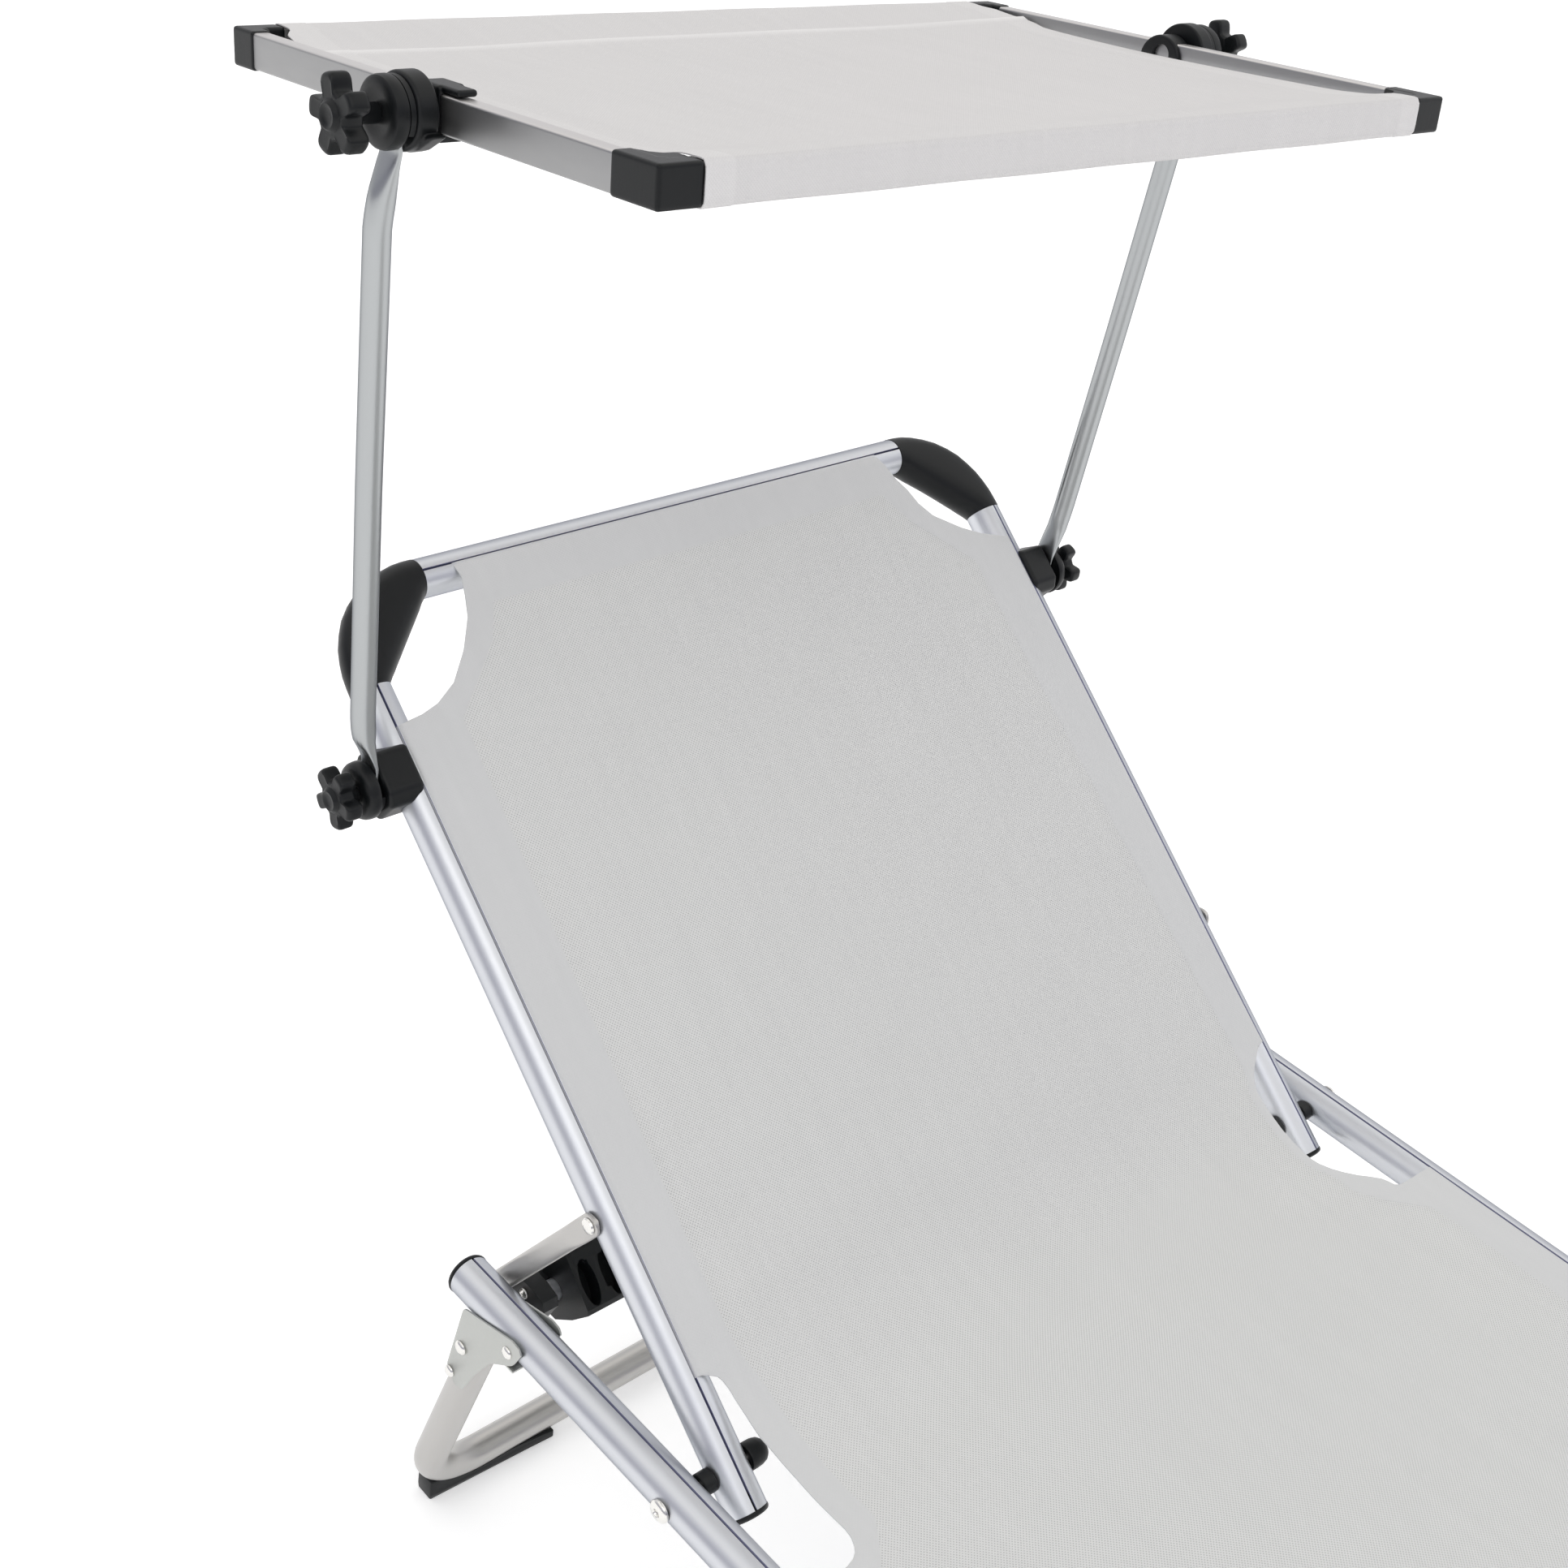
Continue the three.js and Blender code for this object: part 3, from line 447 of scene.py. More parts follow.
def cad_copy(node_name, name, dissolve=4):
    """a new mesh with the shape of a CAD node, flat areas merged, for rounding its edges"""
    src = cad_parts[node_name]
    me = src.data.copy()
    me.name = name
    bm = bmesh.new()
    bm.from_mesh(me)
    bmesh.ops.transform(bm, matrix=src.matrix_world, verts=bm.verts)
    bmesh.ops.remove_doubles(bm, verts=bm.verts, dist=1e-5)
    bmesh.ops.dissolve_limit(bm, angle_limit=dissolve * D, verts=bm.verts, edges=bm.edges)
    bmesh.ops.recalc_face_normals(bm, faces=bm.faces)
    for e in bm.edges:
        e.smooth = True
    bm.to_mesh(me)
    bm.free()
    me.materials.clear()
    o = bpy.data.objects.new(name, me)
    bpy.context.scene.collection.objects.link(o)
    shade(me, 40)
    return o


# ---------------------------------------------------------------- slotted tubes
def slotted(R, slot_deg, n=64, gap=1.8, wall=1.7, hole=3.4):
    """round section with a keyhole slot; the angle is counted from the section's first direction"""
    c = slot_deg * D
    half = math.asin(gap / 2 / R)
    pts, inside = [], []
    for i in range(n + 1):
        q = c + half + (2 * math.pi - 2 * half) * i / n
        pts.append((R * math.cos(q), R * math.sin(q)))
        inside.append(False)
    rot = lambda a, b: (a * math.cos(c) - b * math.sin(c), a * math.sin(c) + b * math.cos(c))
    cd = R - wall - math.sqrt(hole ** 2 - (gap / 2) ** 2)       # centre of the channel
    a0 = math.asin(gap / 2 / hole)
    chan = [rot(cd + hole * math.cos(-a0 - (2 * math.pi - 2 * a0) * k / 14), hole * math.sin(-a0 - (2 * math.pi - 2 * a0) * k / 14)) for k in range(15)]
    pts += chan
    inside += [True] * len(chan)
    return pts, inside


def slot_tube(name, p, q, R, up, slot_deg, M, body, replaces, rings=6):
    pts, inside = slotted(R, slot_deg)
    P, Q = Vector(p), Vector(q)
    path = [P.lerp(Q, i / rings) for i in range(rings + 1)]
    v, f = sweep(path, pts, ups=up)
    m = len(pts)
    fm = []
    for face in f:
        if len(face) == 4:
            k = [i % m for i in face]
            fm.append(1 if any(inside[i] for i in k) else 0)
        else:
            fm.append(0)
    o = mesh_object(name, v, f, M, mats=(ALU, SLOT), face_mats=fm, smooth=30)
    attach(o, body)
    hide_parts(*replaces)
    return o


for side, m in SIDES:
    s = -1 if side == "left" else 1
    # section directions: first = up, second = tangent x first
    # along +y with up +z the second direction is +x
    slot_tube(f"main_rail_{side}", (s * 334, -581.7, 0), (s * 334, 226, 0), 15, (0, 0, 1), -s * 7, FR, "main_frame", [f"rail_{side}"])
    slot_tube(f"backrest_side_tube_{side}", (s * 295, -29, 0), (s * 295, 549.6, 0), 14, (0, 0, 1), s * 6, BK, "backrest", [f"back_tube_{side}"])
    slot_tube(f"foot_side_tube_{side}", (s * 295, -565.9, 0), (s * 295, 27, 0), 14, (0, 0, 1), s * 6, FT, "foot_section", [f"foot_tube_{side}"])
slot_tube("backrest_head_tube", (-227.6, 616, 0), (227.6, 616, 0), 14, (0, 0, 1), -4, BK, "backrest", ["head_tube"])
slot_tube("foot_section_end_tube", (-227.6, -632.35, 0), (227.6, -632.35, 0), 14, (0, 0, 1), 4, FT, "foot_section", ["foot_end_tube"])


# ---------------------------------------------------------------- slings
ta, tb, RF = 540.16, 674.77, 198.78
def bk_point(s, n):
    return s * math.cos(THETA) - n * math.sin(THETA), s * math.sin(THETA) + n * math.cos(THETA)
YA, ZA = bk_point(617 - ta, 14.9)


def sling_line(t):
    """point (y, z) and normal of the sheet's centre line, t from the head tube along the cloth"""
    if t < 0:
        # over the head tube and down into its slot: not built, nothing is returned
        return None
    if t <= ta:
        y, z = bk_point(617 - t, 14.9)
        return y, z, -math.sin(THETA), math.cos(THETA)
    if t <= tb:
        p = THETA - (t - ta) / RF
        return YA + RF * (math.sin(p) - math.sin(THETA)), ZA - RF * (math.cos(p) - math.cos(THETA)), -math.sin(p), math.cos(p)
    return -74.0 - (t - tb), 15.9, 0.0, 1.0


T_END = tb + (-74.0 + 1232.35)          # foot end tube
T_OF = lambda y: tb + (-74.0 - y)
NEAR = [(0, -204), (3, -204), (11.6, -202.3), (25, -206), (40.5, -211.4), (61.6, -225.2), (81.2, -242.8), (91.9, -261), (96.1, -275.8), (97.5, -287.2), (98.6, -296.5),
    (556.6, -296.5), (557.4, -292.4), (558.9, -288.7), (560.6, -286), (562.6, -283), (566.1, -281.2), (572.7, -280), (582, -279.8), (592.1, -279.4), (608.3, -279.5), (617.8, -278.2),
    (627.8, -277.5), (643.5, -276.5), (659.4, -276.2), (673.4, -275.8), (686, -275.5), (692.3, -276.4), (698.4, -279.2), (701.3, -281.6), (704.6, -286.4), (706.4, -293), (707.4, -312), (708.4, -332.2)]
FAR = [(0, 200.5), (2.2, 200.5), (12.7, 205), (24.5, 208.7), (35.5, 214.8), (49, 219.3), (62, 227.9), (78.3, 250.6), (87.7, 268.5), (94.6, 288.4), (96.5, 296.5),
    (552.2, 296.5), (553.8, 288.3), (557.8, 282.4), (566.7, 271.3), (571.7, 266.4), (578.6, 261.6), (583.6, 259.2), (592.7, 257.9), (607.6, 256.2), (619.3, 254.8), (631.2, 254.1), (644, 254.0),
    (650, 254.4), (656.2, 256.1), (665.4, 260.8), (673.6, 266.5), (681.3, 272.9), (688.2, 280.2), (694.1, 285.7), (698.7, 287.7), (703.8, 289), (706.3, 292.5), (707.3, 302.9), (708.4, 332.2)]
KNEE = [(T_OF(-503), 332.2), (T_OF(-505), 312), (T_OF(-509), 290), (T_OF(-519), 276), (T_OF(-535), 269), (T_OF(-560), 266), (T_OF(-600), 265), (T_OF(-660), 265.5), (T_OF(-672), 267), (T_OF(-681), 272), (T_OF(-687), 282), (T_OF(-689), 296.5),
    (T_OF(-1133), 296.5), (T_OF(-1137), 280), (T_OF(-1151), 252), (T_OF(-1170), 228), (T_OF(-1191), 213), (T_OF(-1214), 205), (T_END, 203)]
HEM_N = [(36.5, -188), (61, -202), (84, -225), (106.5, -248), (541, -262), (556, -261), (580, -256.5), (690, -254), (712, -270), (735, -293), (760, -296), (T_OF(-480), -296), (T_OF(-520), -255), (T_OF(-540), -246), (T_OF(-660), -245), (T_OF(-700), -260),
    (T_OF(-1120), -262), (T_OF(-1150), -232), (T_OF(-1175), -205), (T_OF(-1196), -188)]


def at(points, t):
    return float(np.interp(t, [p[0] for p in points], [p[1] for p in points]))


NEAR_ALL = NEAR + [(t, -x) for t, x in KNEE]
FAR_ALL = FAR + KNEE
HEM_F = [(t, -x) for t, x in HEM_N]


def bump(t, a, b, c, d):
    """0 outside a..d, 1 between b and c, smooth between"""
    if t <= a or t >= d:
        return 0.0
    if t < b:
        k = (t - a) / (b - a)
    elif t > c:
        k = (d - t) / (d - c)
    else:
        return 1.0
    return k * k * (3 - 2 * k)


def sling_piece(name, t0, t1, replaces):
    ts = set(np.arange(t0, t1, 8.0).tolist()) | {t0, t1}
    for t, _ in NEAR_ALL + FAR_ALL + HEM_N:
        if t0 < t < t1:
            ts.add(t)
    for t in (33.6, 35.4, T_END - 35.4, T_END - 33.6):
        if t0 < t < t1:
            ts.add(t)
    rows = []
    for t in sorted(ts):
        if not rows or t - rows[-1] > 0.55:
            rows.append(t)
    rows[-1] = t1
    N = 56
    top, uvs, hem, nrm = [], [], [], []
    cols = None
    for t in rows:
        xl, xr = at(NEAR_ALL, t), at(FAR_ALL, t)
        hl, hr = max(at(HEM_N, t), xl + 9), min(at(HEM_F, t), xr - 9)
        L_ = [(xl, 1), (xl + 0.9, 1), (xl + 2.4, 1), (xl + 5, 1), (hl - 3.2, 1), (hl - 0.6, 1), (hl + 0.6, 0)]
        R_ = [(xr, 1), (xr - 0.9, 1), (xr - 2.4, 1), (xr - 5, 1), (hr + 3.2, 1), (hr + 0.6, 1), (hr - 0.6, 0)]
        mid = [(hl + 0.6 + (hr - hl - 1.2) * i / N, 0) for i in range(1, N)]
        row = L_ + mid + list(reversed(R_))
        cols = len(row)
        y, z, ny, nz = sling_line(t)
        endhem = t < 34.5 or t > T_END - 34.5
        seat = 0.0 if t < tb else bump(t, tb, tb + 90, T_OF(-470), T_OF(-560))
        back = bump(t, 20, 150, 430, 560)
        footp = bump(t, T_OF(-640), T_OF(-760), T_OF(-1060), T_END - 20)
        for j, (x, h) in enumerate(row):
            edge = xl if j < cols / 2 else xr
            out = abs(x - edge)
            held = abs(edge) > 295.4                      # the edge runs in a tube's slot here
            half = (xr - xl) / 2
            u = (x - (xl + xr) / 2) / half
            sag = (3.2 * back + 6.0 * seat + 5.0 * footp) * (1 - u * u)
            # shallow soft folds across the lap and the lower back
            sag += 0.9 * math.sin(x * 0.011 + 0.8) * bump(t, 470, 560, 640, 760)
            lift = 0.35 if (h or endhem) else 0.0
            dip = 0.0
            if held and out < 2.0:
                dip = 5.6 * (1 - out / 2.0) ** 1.5
            elif not held:
                dip = 0.5 * max(0.0, 1 - out / 4.0)
            d = lift - sag - dip
            if t < 6:
                d -= 0.35 * (6 - t) ** 1.4 * 0.4
            top.append((x, y + ny * d, z + nz * d))
            nrm.append((0, ny, nz))
            uvs.append((x * 0.001, t * 0.001))
            hem.append(1.0 if (h or endhem) else 0.0)
    R = len(rows)
    th = 0.9
    bottom = [(p[0], p[1] - n_[1] * th, p[2] - n_[2] * th) for p, n_ in zip(top, nrm)]
    verts = top + bottom
    K = len(top)
    faces = []
    for i in range(R - 1):
        for j in range(cols - 1):
            a, b_, c, d = i * cols + j, i * cols + j + 1, (i + 1) * cols + j + 1, (i + 1) * cols + j
            faces.append((a, d, c, b_))
            faces.append((K + a, K + b_, K + c, K + d))
    for j in range(cols - 1):
        faces.append((j, j + 1, K + j + 1, K + j))
        a = (R - 1) * cols
        faces.append((a + j + 1, a + j, K + a + j, K + a + j + 1))
    for i in range(R - 1):
        a, b_ = i * cols, (i + 1) * cols
        faces.append((b_, a, K + a, K + b_))
        a, b_ = i * cols + cols - 1, (i + 1) * cols + cols - 1
        faces.append((a, b_, K + b_, K + a))
    o = mesh_object(name, verts, faces, FR, uvs=uvs + uvs, hem=hem + hem, mats=(SLING,), smooth=60)
    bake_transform(o)
    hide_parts(*replaces)
    return o


T_JOIN = T_OF(-440)


sling_piece("sling_back_and_seat", 0.0, T_JOIN,
    ["backrest_fabric", "seat_fabric"])
sling_piece("sling_seat_and_foot", T_JOIN, T_END,
    ["foot_fabric"])


# ---------------------------------------------------------------- moulded elbows
def elbow(len_, sgn_y, sgn_x):
    r, X, dy = 14.3, 295.0, len_ - 616
    outer = [(X + r, 550), (X + r - 0.4, 558), (X + r - 1.2, 566), (306, 575), (303, 584), (298, 593.5), (292, 602.5), (284, 610.5), (274, 618), (263, 623.5), (252, 627.5), (243, 629.6), (235, 616 + r), (228, 616 + r)]
    inner = [(X - r, 550), (277.6, 553.2), (273.5, 557), (269.6, 561), (265.5, 564.9), (261.3, 569.1), (257, 573.3), (253, 577.2), (249, 581.2), (245, 585), (241, 589), (238, 592), (233.5, 597), (228, 616 - r)]
    n = 40
    verts, faces = [], []
    for (ox, oy), (ix, iy) in zip(outer, inner):
        cx, cy = (ox + ix) / 2, (oy + iy) / 2
        wx, wy = (ox - ix) / 2, (oy - iy) / 2
        hw = math.hypot(wx, wy)
        for i in range(n):
            q = 2 * math.pi * i / n
            ca, sa = math.cos(q), math.sin(q)
            k = (math.copysign(1, ca) * (hw - r) * min(1, abs(ca) * 3) + r * ca) / hw
            verts.append((sgn_x * (cx + wx * k), sgn_y * (cy + wy * k + dy), r * sa))
    K = len(outer)
    for a in range(K - 1):
        for i in range(n):
            j = (i + 1) % n
            faces.append((a * n + i, a * n + j, (a + 1) * n + j, (a + 1) * n + i))
    faces.append(tuple(range(n)))
    faces.append(tuple((K - 1) * n + i for i in range(n)))
    return verts, faces


for side, sx in (("left", -1), ("right", 1)):
    v, f = elbow(616, 1, sx)
    settle(bevel(mesh_object(f"head_corner_elbow_{side}", v, f, BK), 0.5, 2, 50), "backrest", BLACK, [f"head_elbow_{side}"])
    v, f = elbow(632.35, -1, sx)
    settle(bevel(mesh_object(f"foot_corner_elbow_{side}", v, f, FT), 0.5, 2, 50), "foot_section", BLACK, [f"foot_elbow_{side}"])

# ---------------------------------------------------------------- caps, bolts, spacers, rivets
ALONG_Y = Matrix.Rotation(-90 * D, 4, "Z")      # a lathe's outward -x becomes +y
for side, m in SIDES:
    s = -1 if side == "left" else 1
    v, f = lathe([(0, 0), (12.6, 0), (15.1, 0.3), (15.3, 0.9), (15.3, 2.0), (14.6, 3.3), (12.5, 4.2), (8, 4.5), (0, 4.6)], 56)
    settle(mesh_object(f"rail_end_cap_{side}", v, f, FR @ T(s * 334, 226.2, 0) @ ALONG_Y, smooth=50), "main_frame", BLACK, [f"rail_head_cap_{side}"])
    v, f = lathe([(0, -11), (11.6, -11), (11.8, -0.3), (14.2, -0.3), (14.3, 0.8), (14.1, 1.9), (13.2, 3.0), (11.4, 3.6), (0, 3.8)], 56)
    settle(mesh_object(f"backrest_tube_end_cap_{side}", v, f, BK @ T(s * 295, -29, 0) @ Matrix.Rotation(90 * D, 4, "Z"), smooth=50), "backrest", BLACK, [f"back_tube_cap_{side}"])
    # pan head outside, shank, domed nut cover inside
    v, f = lathe([(0, -85.0), (3.4, -84.8), (6.2, -83.6), (8.2, -81.2), (9.2, -77.6), (9.4, -73.5), (9.4, -69.4), (9.0, -68.6), (3.9, -68.6), (3.9, 0.2), (8.0, 0.3), (8.15, 0.9), (7.7, 2.2), (6.2, 3.3), (3.2, 4.0), (2.6, 3.4), (2.2, 2.2), (0, 2.0)], 48)
    bolt = mesh_object(f"backrest_pivot_bolt_{side}", v, f, FR @ m @ T(-349.2, 0, 0), smooth=40)
    bolt.data.materials.append(ZINC)
    bolt.data.materials.append(BLACK)
    for p in bolt.data.polygons:
        if abs((FR.inverted() @ p.center).x) < 282:
            p.material_index = 1
    settle(bolt, "main_frame", None, [f"back_pivot_bolt_{side}"])
    v, f = lathe([(4.4, 0), (7.4, 0), (8.0, 0.6), (8.0, 8.6), (7.4, 9.3), (4.4, 9.3), (4.4, 0)], 48)
    settle(mesh_object(f"backrest_pivot_spacer_{side}", v, f, FR @ m @ T(-309.3, 0, 0), smooth=40), "main_frame", BLACK, [f"back_pivot_spacer_{side}"])
    o = cad_copy(f"knee_joint_{side}", f"knee_swivel_joint_{side}", 12)
    settle(bevel(o, 0.8, 2, 35), "main_frame", BLACK, [f"knee_joint_{side}"])

DOME = [(0, -6), (2.4, -6), (2.4, 0), (4.6, 0.05), (4.7, 0.5), (4.2, 1.5), (2.9, 2.3), (0, 2.6)]
PAN = [(0, -8), (1.8, -8), (1.8, 0), (4.1, 0.05), (4.3, 0.8), (4.0, 1.9), (2.8, 2.6), (1.2, 2.8), (0.9, 2.0), (0, 1.9)]


# ---------------------------------------------------------------- brackets
def bracket(x, r, k, y0, inner_lug):
    """cheeks with rounded corners joined by a web under the tube"""
    outer = [(5, 36), (-48.5, 52), (-56, 51), (-59, 47), (-51, 30.5), (-28, 12.5), (-12, -14), (0, -39.5), (9, -42), (19, -31.5)]
    inner = [(5, 36), (-48.5, 52), (-56, 51), (-59, 47), (-51, 30.5), (-28, 12.5), (-16, -12), (-8, -26), (8, -30), (19, -22)] if inner_lug else outer

    def soften(o):
        out = []
        n = len(o)
        for i in range(n):
            p0, p, p1 = Vector(o[i - 1]), Vector(o[i]), Vector(o[(i + 1) % n])
            a, b_ = (p0 - p), (p1 - p)
            c = min(4.0, a.length * 0.3, b_.length * 0.3)
            A, B = p + a.normalized() * c, p + b_.normalized() * c
            for q in (0, 0.25, 0.5, 0.75, 1):
                out.append(tuple(A.lerp(p, q).lerp(p.lerp(B, q), q)))
        return out
    at_ = lambda o: [(k * y + y0, z - 41.5) for y, z in soften(o)]
    xo, xi = -x - r - 0.4, -x + r + 0.4
    w0, w1 = (22, 52) if k < 0 else (-52, -22)
    return [prism(at_(outer), xo - 1.5, xo, 0.35, 2), prism(at_(inner), xi, xi + 1.5, 0.35, 2),
        rbox((xo - 1.3, y0 + w0, -r - 2.1), (xi + 1.3, y0 + w1, -r - 0.5), 0.3, 2)]


for nm, body, M, x, r, y0, k, lug in (("head_leg", "main_frame", FR, 334, 15, 203, 1, True), ("mid_leg", "main_frame", FR, 334, 15, -492, -1, False), ("end_leg", "foot_section", FT, 295, 14, -486, -1, False)):
    for side, m in SIDES:
        o = join(f"{nm}_rail_bracket_{side}", [(v, f, M @ m) for v, f in bracket(x, r, k, y0, lug)])
        settle(o, body, SHEET, [f"{nm}_bracket_{side}"])
        xo = -x - r - 1.9
        o = join(f"{nm}_bracket_rivets_{side}", [(*lathe(DOME, 32), M @ m @ T(xo, y0 + k * -45, -3)), (*lathe(DOME, 32), M @ m @ T(xo, y0 + k * 14.6, -75))])
        settle(o, body, ZINC)
        leg = {"head_leg": "head_leg", "mid_leg": "mid_leg", "end_leg": "end_leg"}[nm]
        o = join(f"{nm}_pivot_rivet_{side}", [(*lathe([(0, -34), (3.1, -34), (3.1, 0), (5.2, 0.05), (5.4, 0.7), (4.7, 1.9), (3.0, 2.7), (0, 3.0)], 36), M @ m @ T(xo, y0 + k * 4, -42.5))])
        settle(o, body, ZINC)

# ---------------------------------------------------------------- legs
for nm, body, M, x, y0, lean in (("head", "head_leg", FR, 334, 203, 17.1), ("mid", "mid_leg", FR, 334, -492, -17.1), ("end", "end_leg", FT, 295, -486, -17.1)):
    a = lean * D
    depth = 274 - 41.5 - 12.5 - 3.6
    d = Vector((0, math.sin(a), -math.cos(a)))
    top = lambda sx: Vector((sx * x, y0, -41.5)) + d * -13
    low = lambda sx: Vector((sx * x, y0, -41.5)) + d * (depth / math.cos(a))
    path = arc_path([top(-1), low(-1), low(1), top(1)], 58, 18)
    v, f = sweep(path, ring(12.5, 44))
    o = mesh_object(f"{nm}_leg_bent_tube", v, f, M, smooth=40)
    settle(bevel(o, 0.8, 2, 60), body, ALU_WARM, [f"{nm}_leg_tube"])
    # two corner shoes on each leg
    yb, zb = low(1).y, low(1).z
    fz = zb - 12.5 - 3.6
    lip = [(yb - 16, fz), (yb + 16, fz), (yb + 18.5, fz + 5), (yb + 18, fz + 20), (yb - 18, fz + 20), (yb - 18.5, fz + 5)]
    parts = []
    for side, m in SIDES:
        v, f = prism(lip, -(x - 7), -(x - 7) + 112, 1.4, 3)
        # pointed nose outside, and a slope at the inner end
        nv = []
        for (px, py, pz) in v:
            out = (-(px) - (x - 35)) / 28
            if out > 0:
                py = yb + (py - yb) * (1 - 0.55 * min(1, out) ** 2)
            inn = min(max((px + (x - 7) - 50) / 62, 0), 1)
            py = yb + (py - yb) * (1 - 0.22 * inn)
            pz = fz + (pz - fz) * (1 - 0.58 * inn)
            nv.append((px, py, pz))
        parts.append((nv, f, M @ m))
    o = join(f"{nm}_leg_corner_shoes", parts)
    v, f = sweep(arc_path([top(-1), low(-1), low(1), top(1)], 58, 18), ring(12.9, 44))
    carve(o, mesh_object("cut", v, f, M))
    settle(o, body, BLACK, [f"{nm}_leg_foot"])

# ---------------------------------------------------------------- recline comb and stay
v, f = sweep([(-316.8, 208, -34), (-150, 208, -34), (150, 208, -34), (316.8, 208, -34)], ring(8, 40))
settle(mesh_object("comb_fixed_cross_tube", v, f, FR, smooth=40), "main_frame", ALU, ["comb_cross_tube"])
for side, m in SIDES:
    o = cad_copy(f"recline_comb_{side}", f"recline_notch_comb_{side}", 3)
    for px in (-262.5, -242.5):
        pv, pf = [], []
        for dn in (-15, 4):
            for i in range(36):
                q = 2 * math.pi * i / 36
                e_ = 17 * math.sin(q)
                pv.append((px + 6.4 * math.cos(q), 183.5 - 0.696 * dn + 0.718 * e_, -12 + 0.718 * dn + 0.696 * e_))
        pf = [(i, (i + 1) % 36, 36 + (i + 1) % 36, 36 + i) for i in range(36)] + [tuple(range(36)), tuple(range(36, 72))]
        carve(o, mesh_object("cut", pv, pf, FR @ m))
    settle(bevel(o, 0.7, 2, 35), "main_frame", BLACK, [f"recline_comb_{side}"])
    o = join(f"recline_comb_screw_{side}", [(*lathe(PAN, 32), FR @ m @ T(-301.05, 205, -18))])
    settle(o, "main_frame", ZINC)

SA = (-55.4 - 38.8) * D
sd = Vector((0, math.cos(SA), math.sin(SA)))
sw = Vector((0, -math.sin(SA), math.cos(SA)))
parts = []
outl = []
for q0, c in ((90, 0.0), (-90, 175.0)):
    for i in range(17):
        q = (q0 + 11.25 * i) * D
        p = Vector((0, 174, 0)) + sd * (c + 7.8 * math.cos(q)) + sw * (7.8 * math.sin(q))
        outl.append((p.y, p.z))
for side, m in SIDES:
    ts_ = [-7.9, -7.6, -6.8, -5.4, -3.4, -1, 3, 8, 12, 16, 20, 24, 28, 32] + [32 + 11.8 * i for i in range(1, 12)] + [168, 174, 177, 179.4, 181.2, 182.3, 182.9]
    vs, fs = [], []
    nn = 36
    for t in ts_:
        w = min(max((t - 9) / 22, 0), 1)
        w = w * w * (3 - 2 * w)
        hx, hw = 1.6 + 1.9 * w, 8.4 - 0.4 * w
        if t < 0:
            hw = math.sqrt(max(8.4 ** 2 - t * t * 1.12, 1.0))
        if t > 175:
            hw = math.sqrt(max(8.0 ** 2 - (t - 175) ** 2, 1.0))
        c = Vector((-311.1 - 1.9 * w, 174, 0)) + sd * t
        for i in range(nn):
            q = 2 * math.pi * i / nn
            cx, sy = math.cos(q), math.sin(q)
            ex = 0.45 + 0.55 * w
            vs.append(tuple(c + Vector((hx * math.copysign(abs(cx) ** ex, cx), 0, 0)) + sw * (hw * math.copysign(abs(sy) ** (0.7 + 0.3 * w), sy))))
    for a_ in range(len(ts_) - 1):
        for i in range(nn):
            j = (i + 1) % nn
            fs.append((a_ * nn + i, a_ * nn + j, (a_ + 1) * nn + j, (a_ + 1) * nn + i))
    fs.append(tuple(range(nn)))
    fs.append(tuple((len(ts_) - 1) * nn + i for i in range(nn)))
    parts.append((vs, fs, BK @ m))
e = Vector((0, 174, 0)) + sd * 175
parts.append((*sweep([(-311, e.y, e.z), (-100, e.y, e.z), (100, e.y, e.z), (311, e.y, e.z)], ring(7.9, 40)), BK))
for side, m in SIDES:                                   # weld beads
    parts.append((*lathe([(7.5, 0.0), (9.4, 0.3), (9.0, 1.6), (7.5, 3.2), (7.5, 0)], 40, 0), BK @ m @ T(-310.2, e.y, e.z) @ MX))
o = join("backrest_stay_bow", parts)
settle(o, "stay", ALU_WARM, ["stay_bow"])
for side, m in SIDES:
    o = join(f"stay_pivot_rivet_{side}", [(*lathe([(0, -22), (3.2, -22), (3.2, 0), (5.6, 0.05), (5.8, 0.6), (5.1, 1.8), (3.3, 2.6), (0, 2.9)], 40), BK @ m @ T(-312.7, 174, 0))])
    settle(o, "backrest", ZINC)


# ---------------------------------------------------------------- star knobs
def star_knob(R, x_in, x_out):
    """five squared lobes, rounded edges, raised dished hub; outwards is -x"""
    n = 160
    out = []
    for i in range(n):
        q = 2 * math.pi * i / n
        c = math.cos(5 * q)
        k = 0.5 + 0.5 * math.tanh(2.6 * (c + 0.05)) / math.tanh(2.6 * 1.05)
        out.append((q, R * (0.60 + 0.40 * k)))
    levels = [(x_in, 1.9), (x_in - 0.5, 0.9), (x_in - 1.5, 0.2), (x_in - 3, 0), (x_out + 3.2, 0), (x_out + 1.6, 0.35), (x_out + 0.6, 1.1), (x_out, 2.4), (x_out + 0.15, 4.2)]
    verts, faces = [], []
    for x, inset in levels:
        verts += [(x, (r - inset) * math.cos(q), (r - inset) * math.sin(q)) for q, r in out]
    hub = [(9.0, x_out + 0.1), (8.2, x_out - 0.5), (7.4, x_out - 1.8), (6.6, x_out - 2.4), (5.4, x_out - 2.3), (4.2, x_out - 1.6), (2.0, x_out - 1.1)]
    for r, x in hub:
        verts += [(x, r * math.cos(2 * math.pi * i / n), r * math.sin(2 * math.pi * i / n)) for i in range(n)]
    K = len(levels) + len(hub)
    for a in range(K - 1):
        for i in range(n):
            j = (i + 1) % n
            faces.append((a * n + i, a * n + j, (a + 1) * n + j, (a + 1) * n + i))
    faces.append(tuple(range(n)))
    faces.append(tuple((K - 1) * n + i for i in range(n)))
    return verts, faces


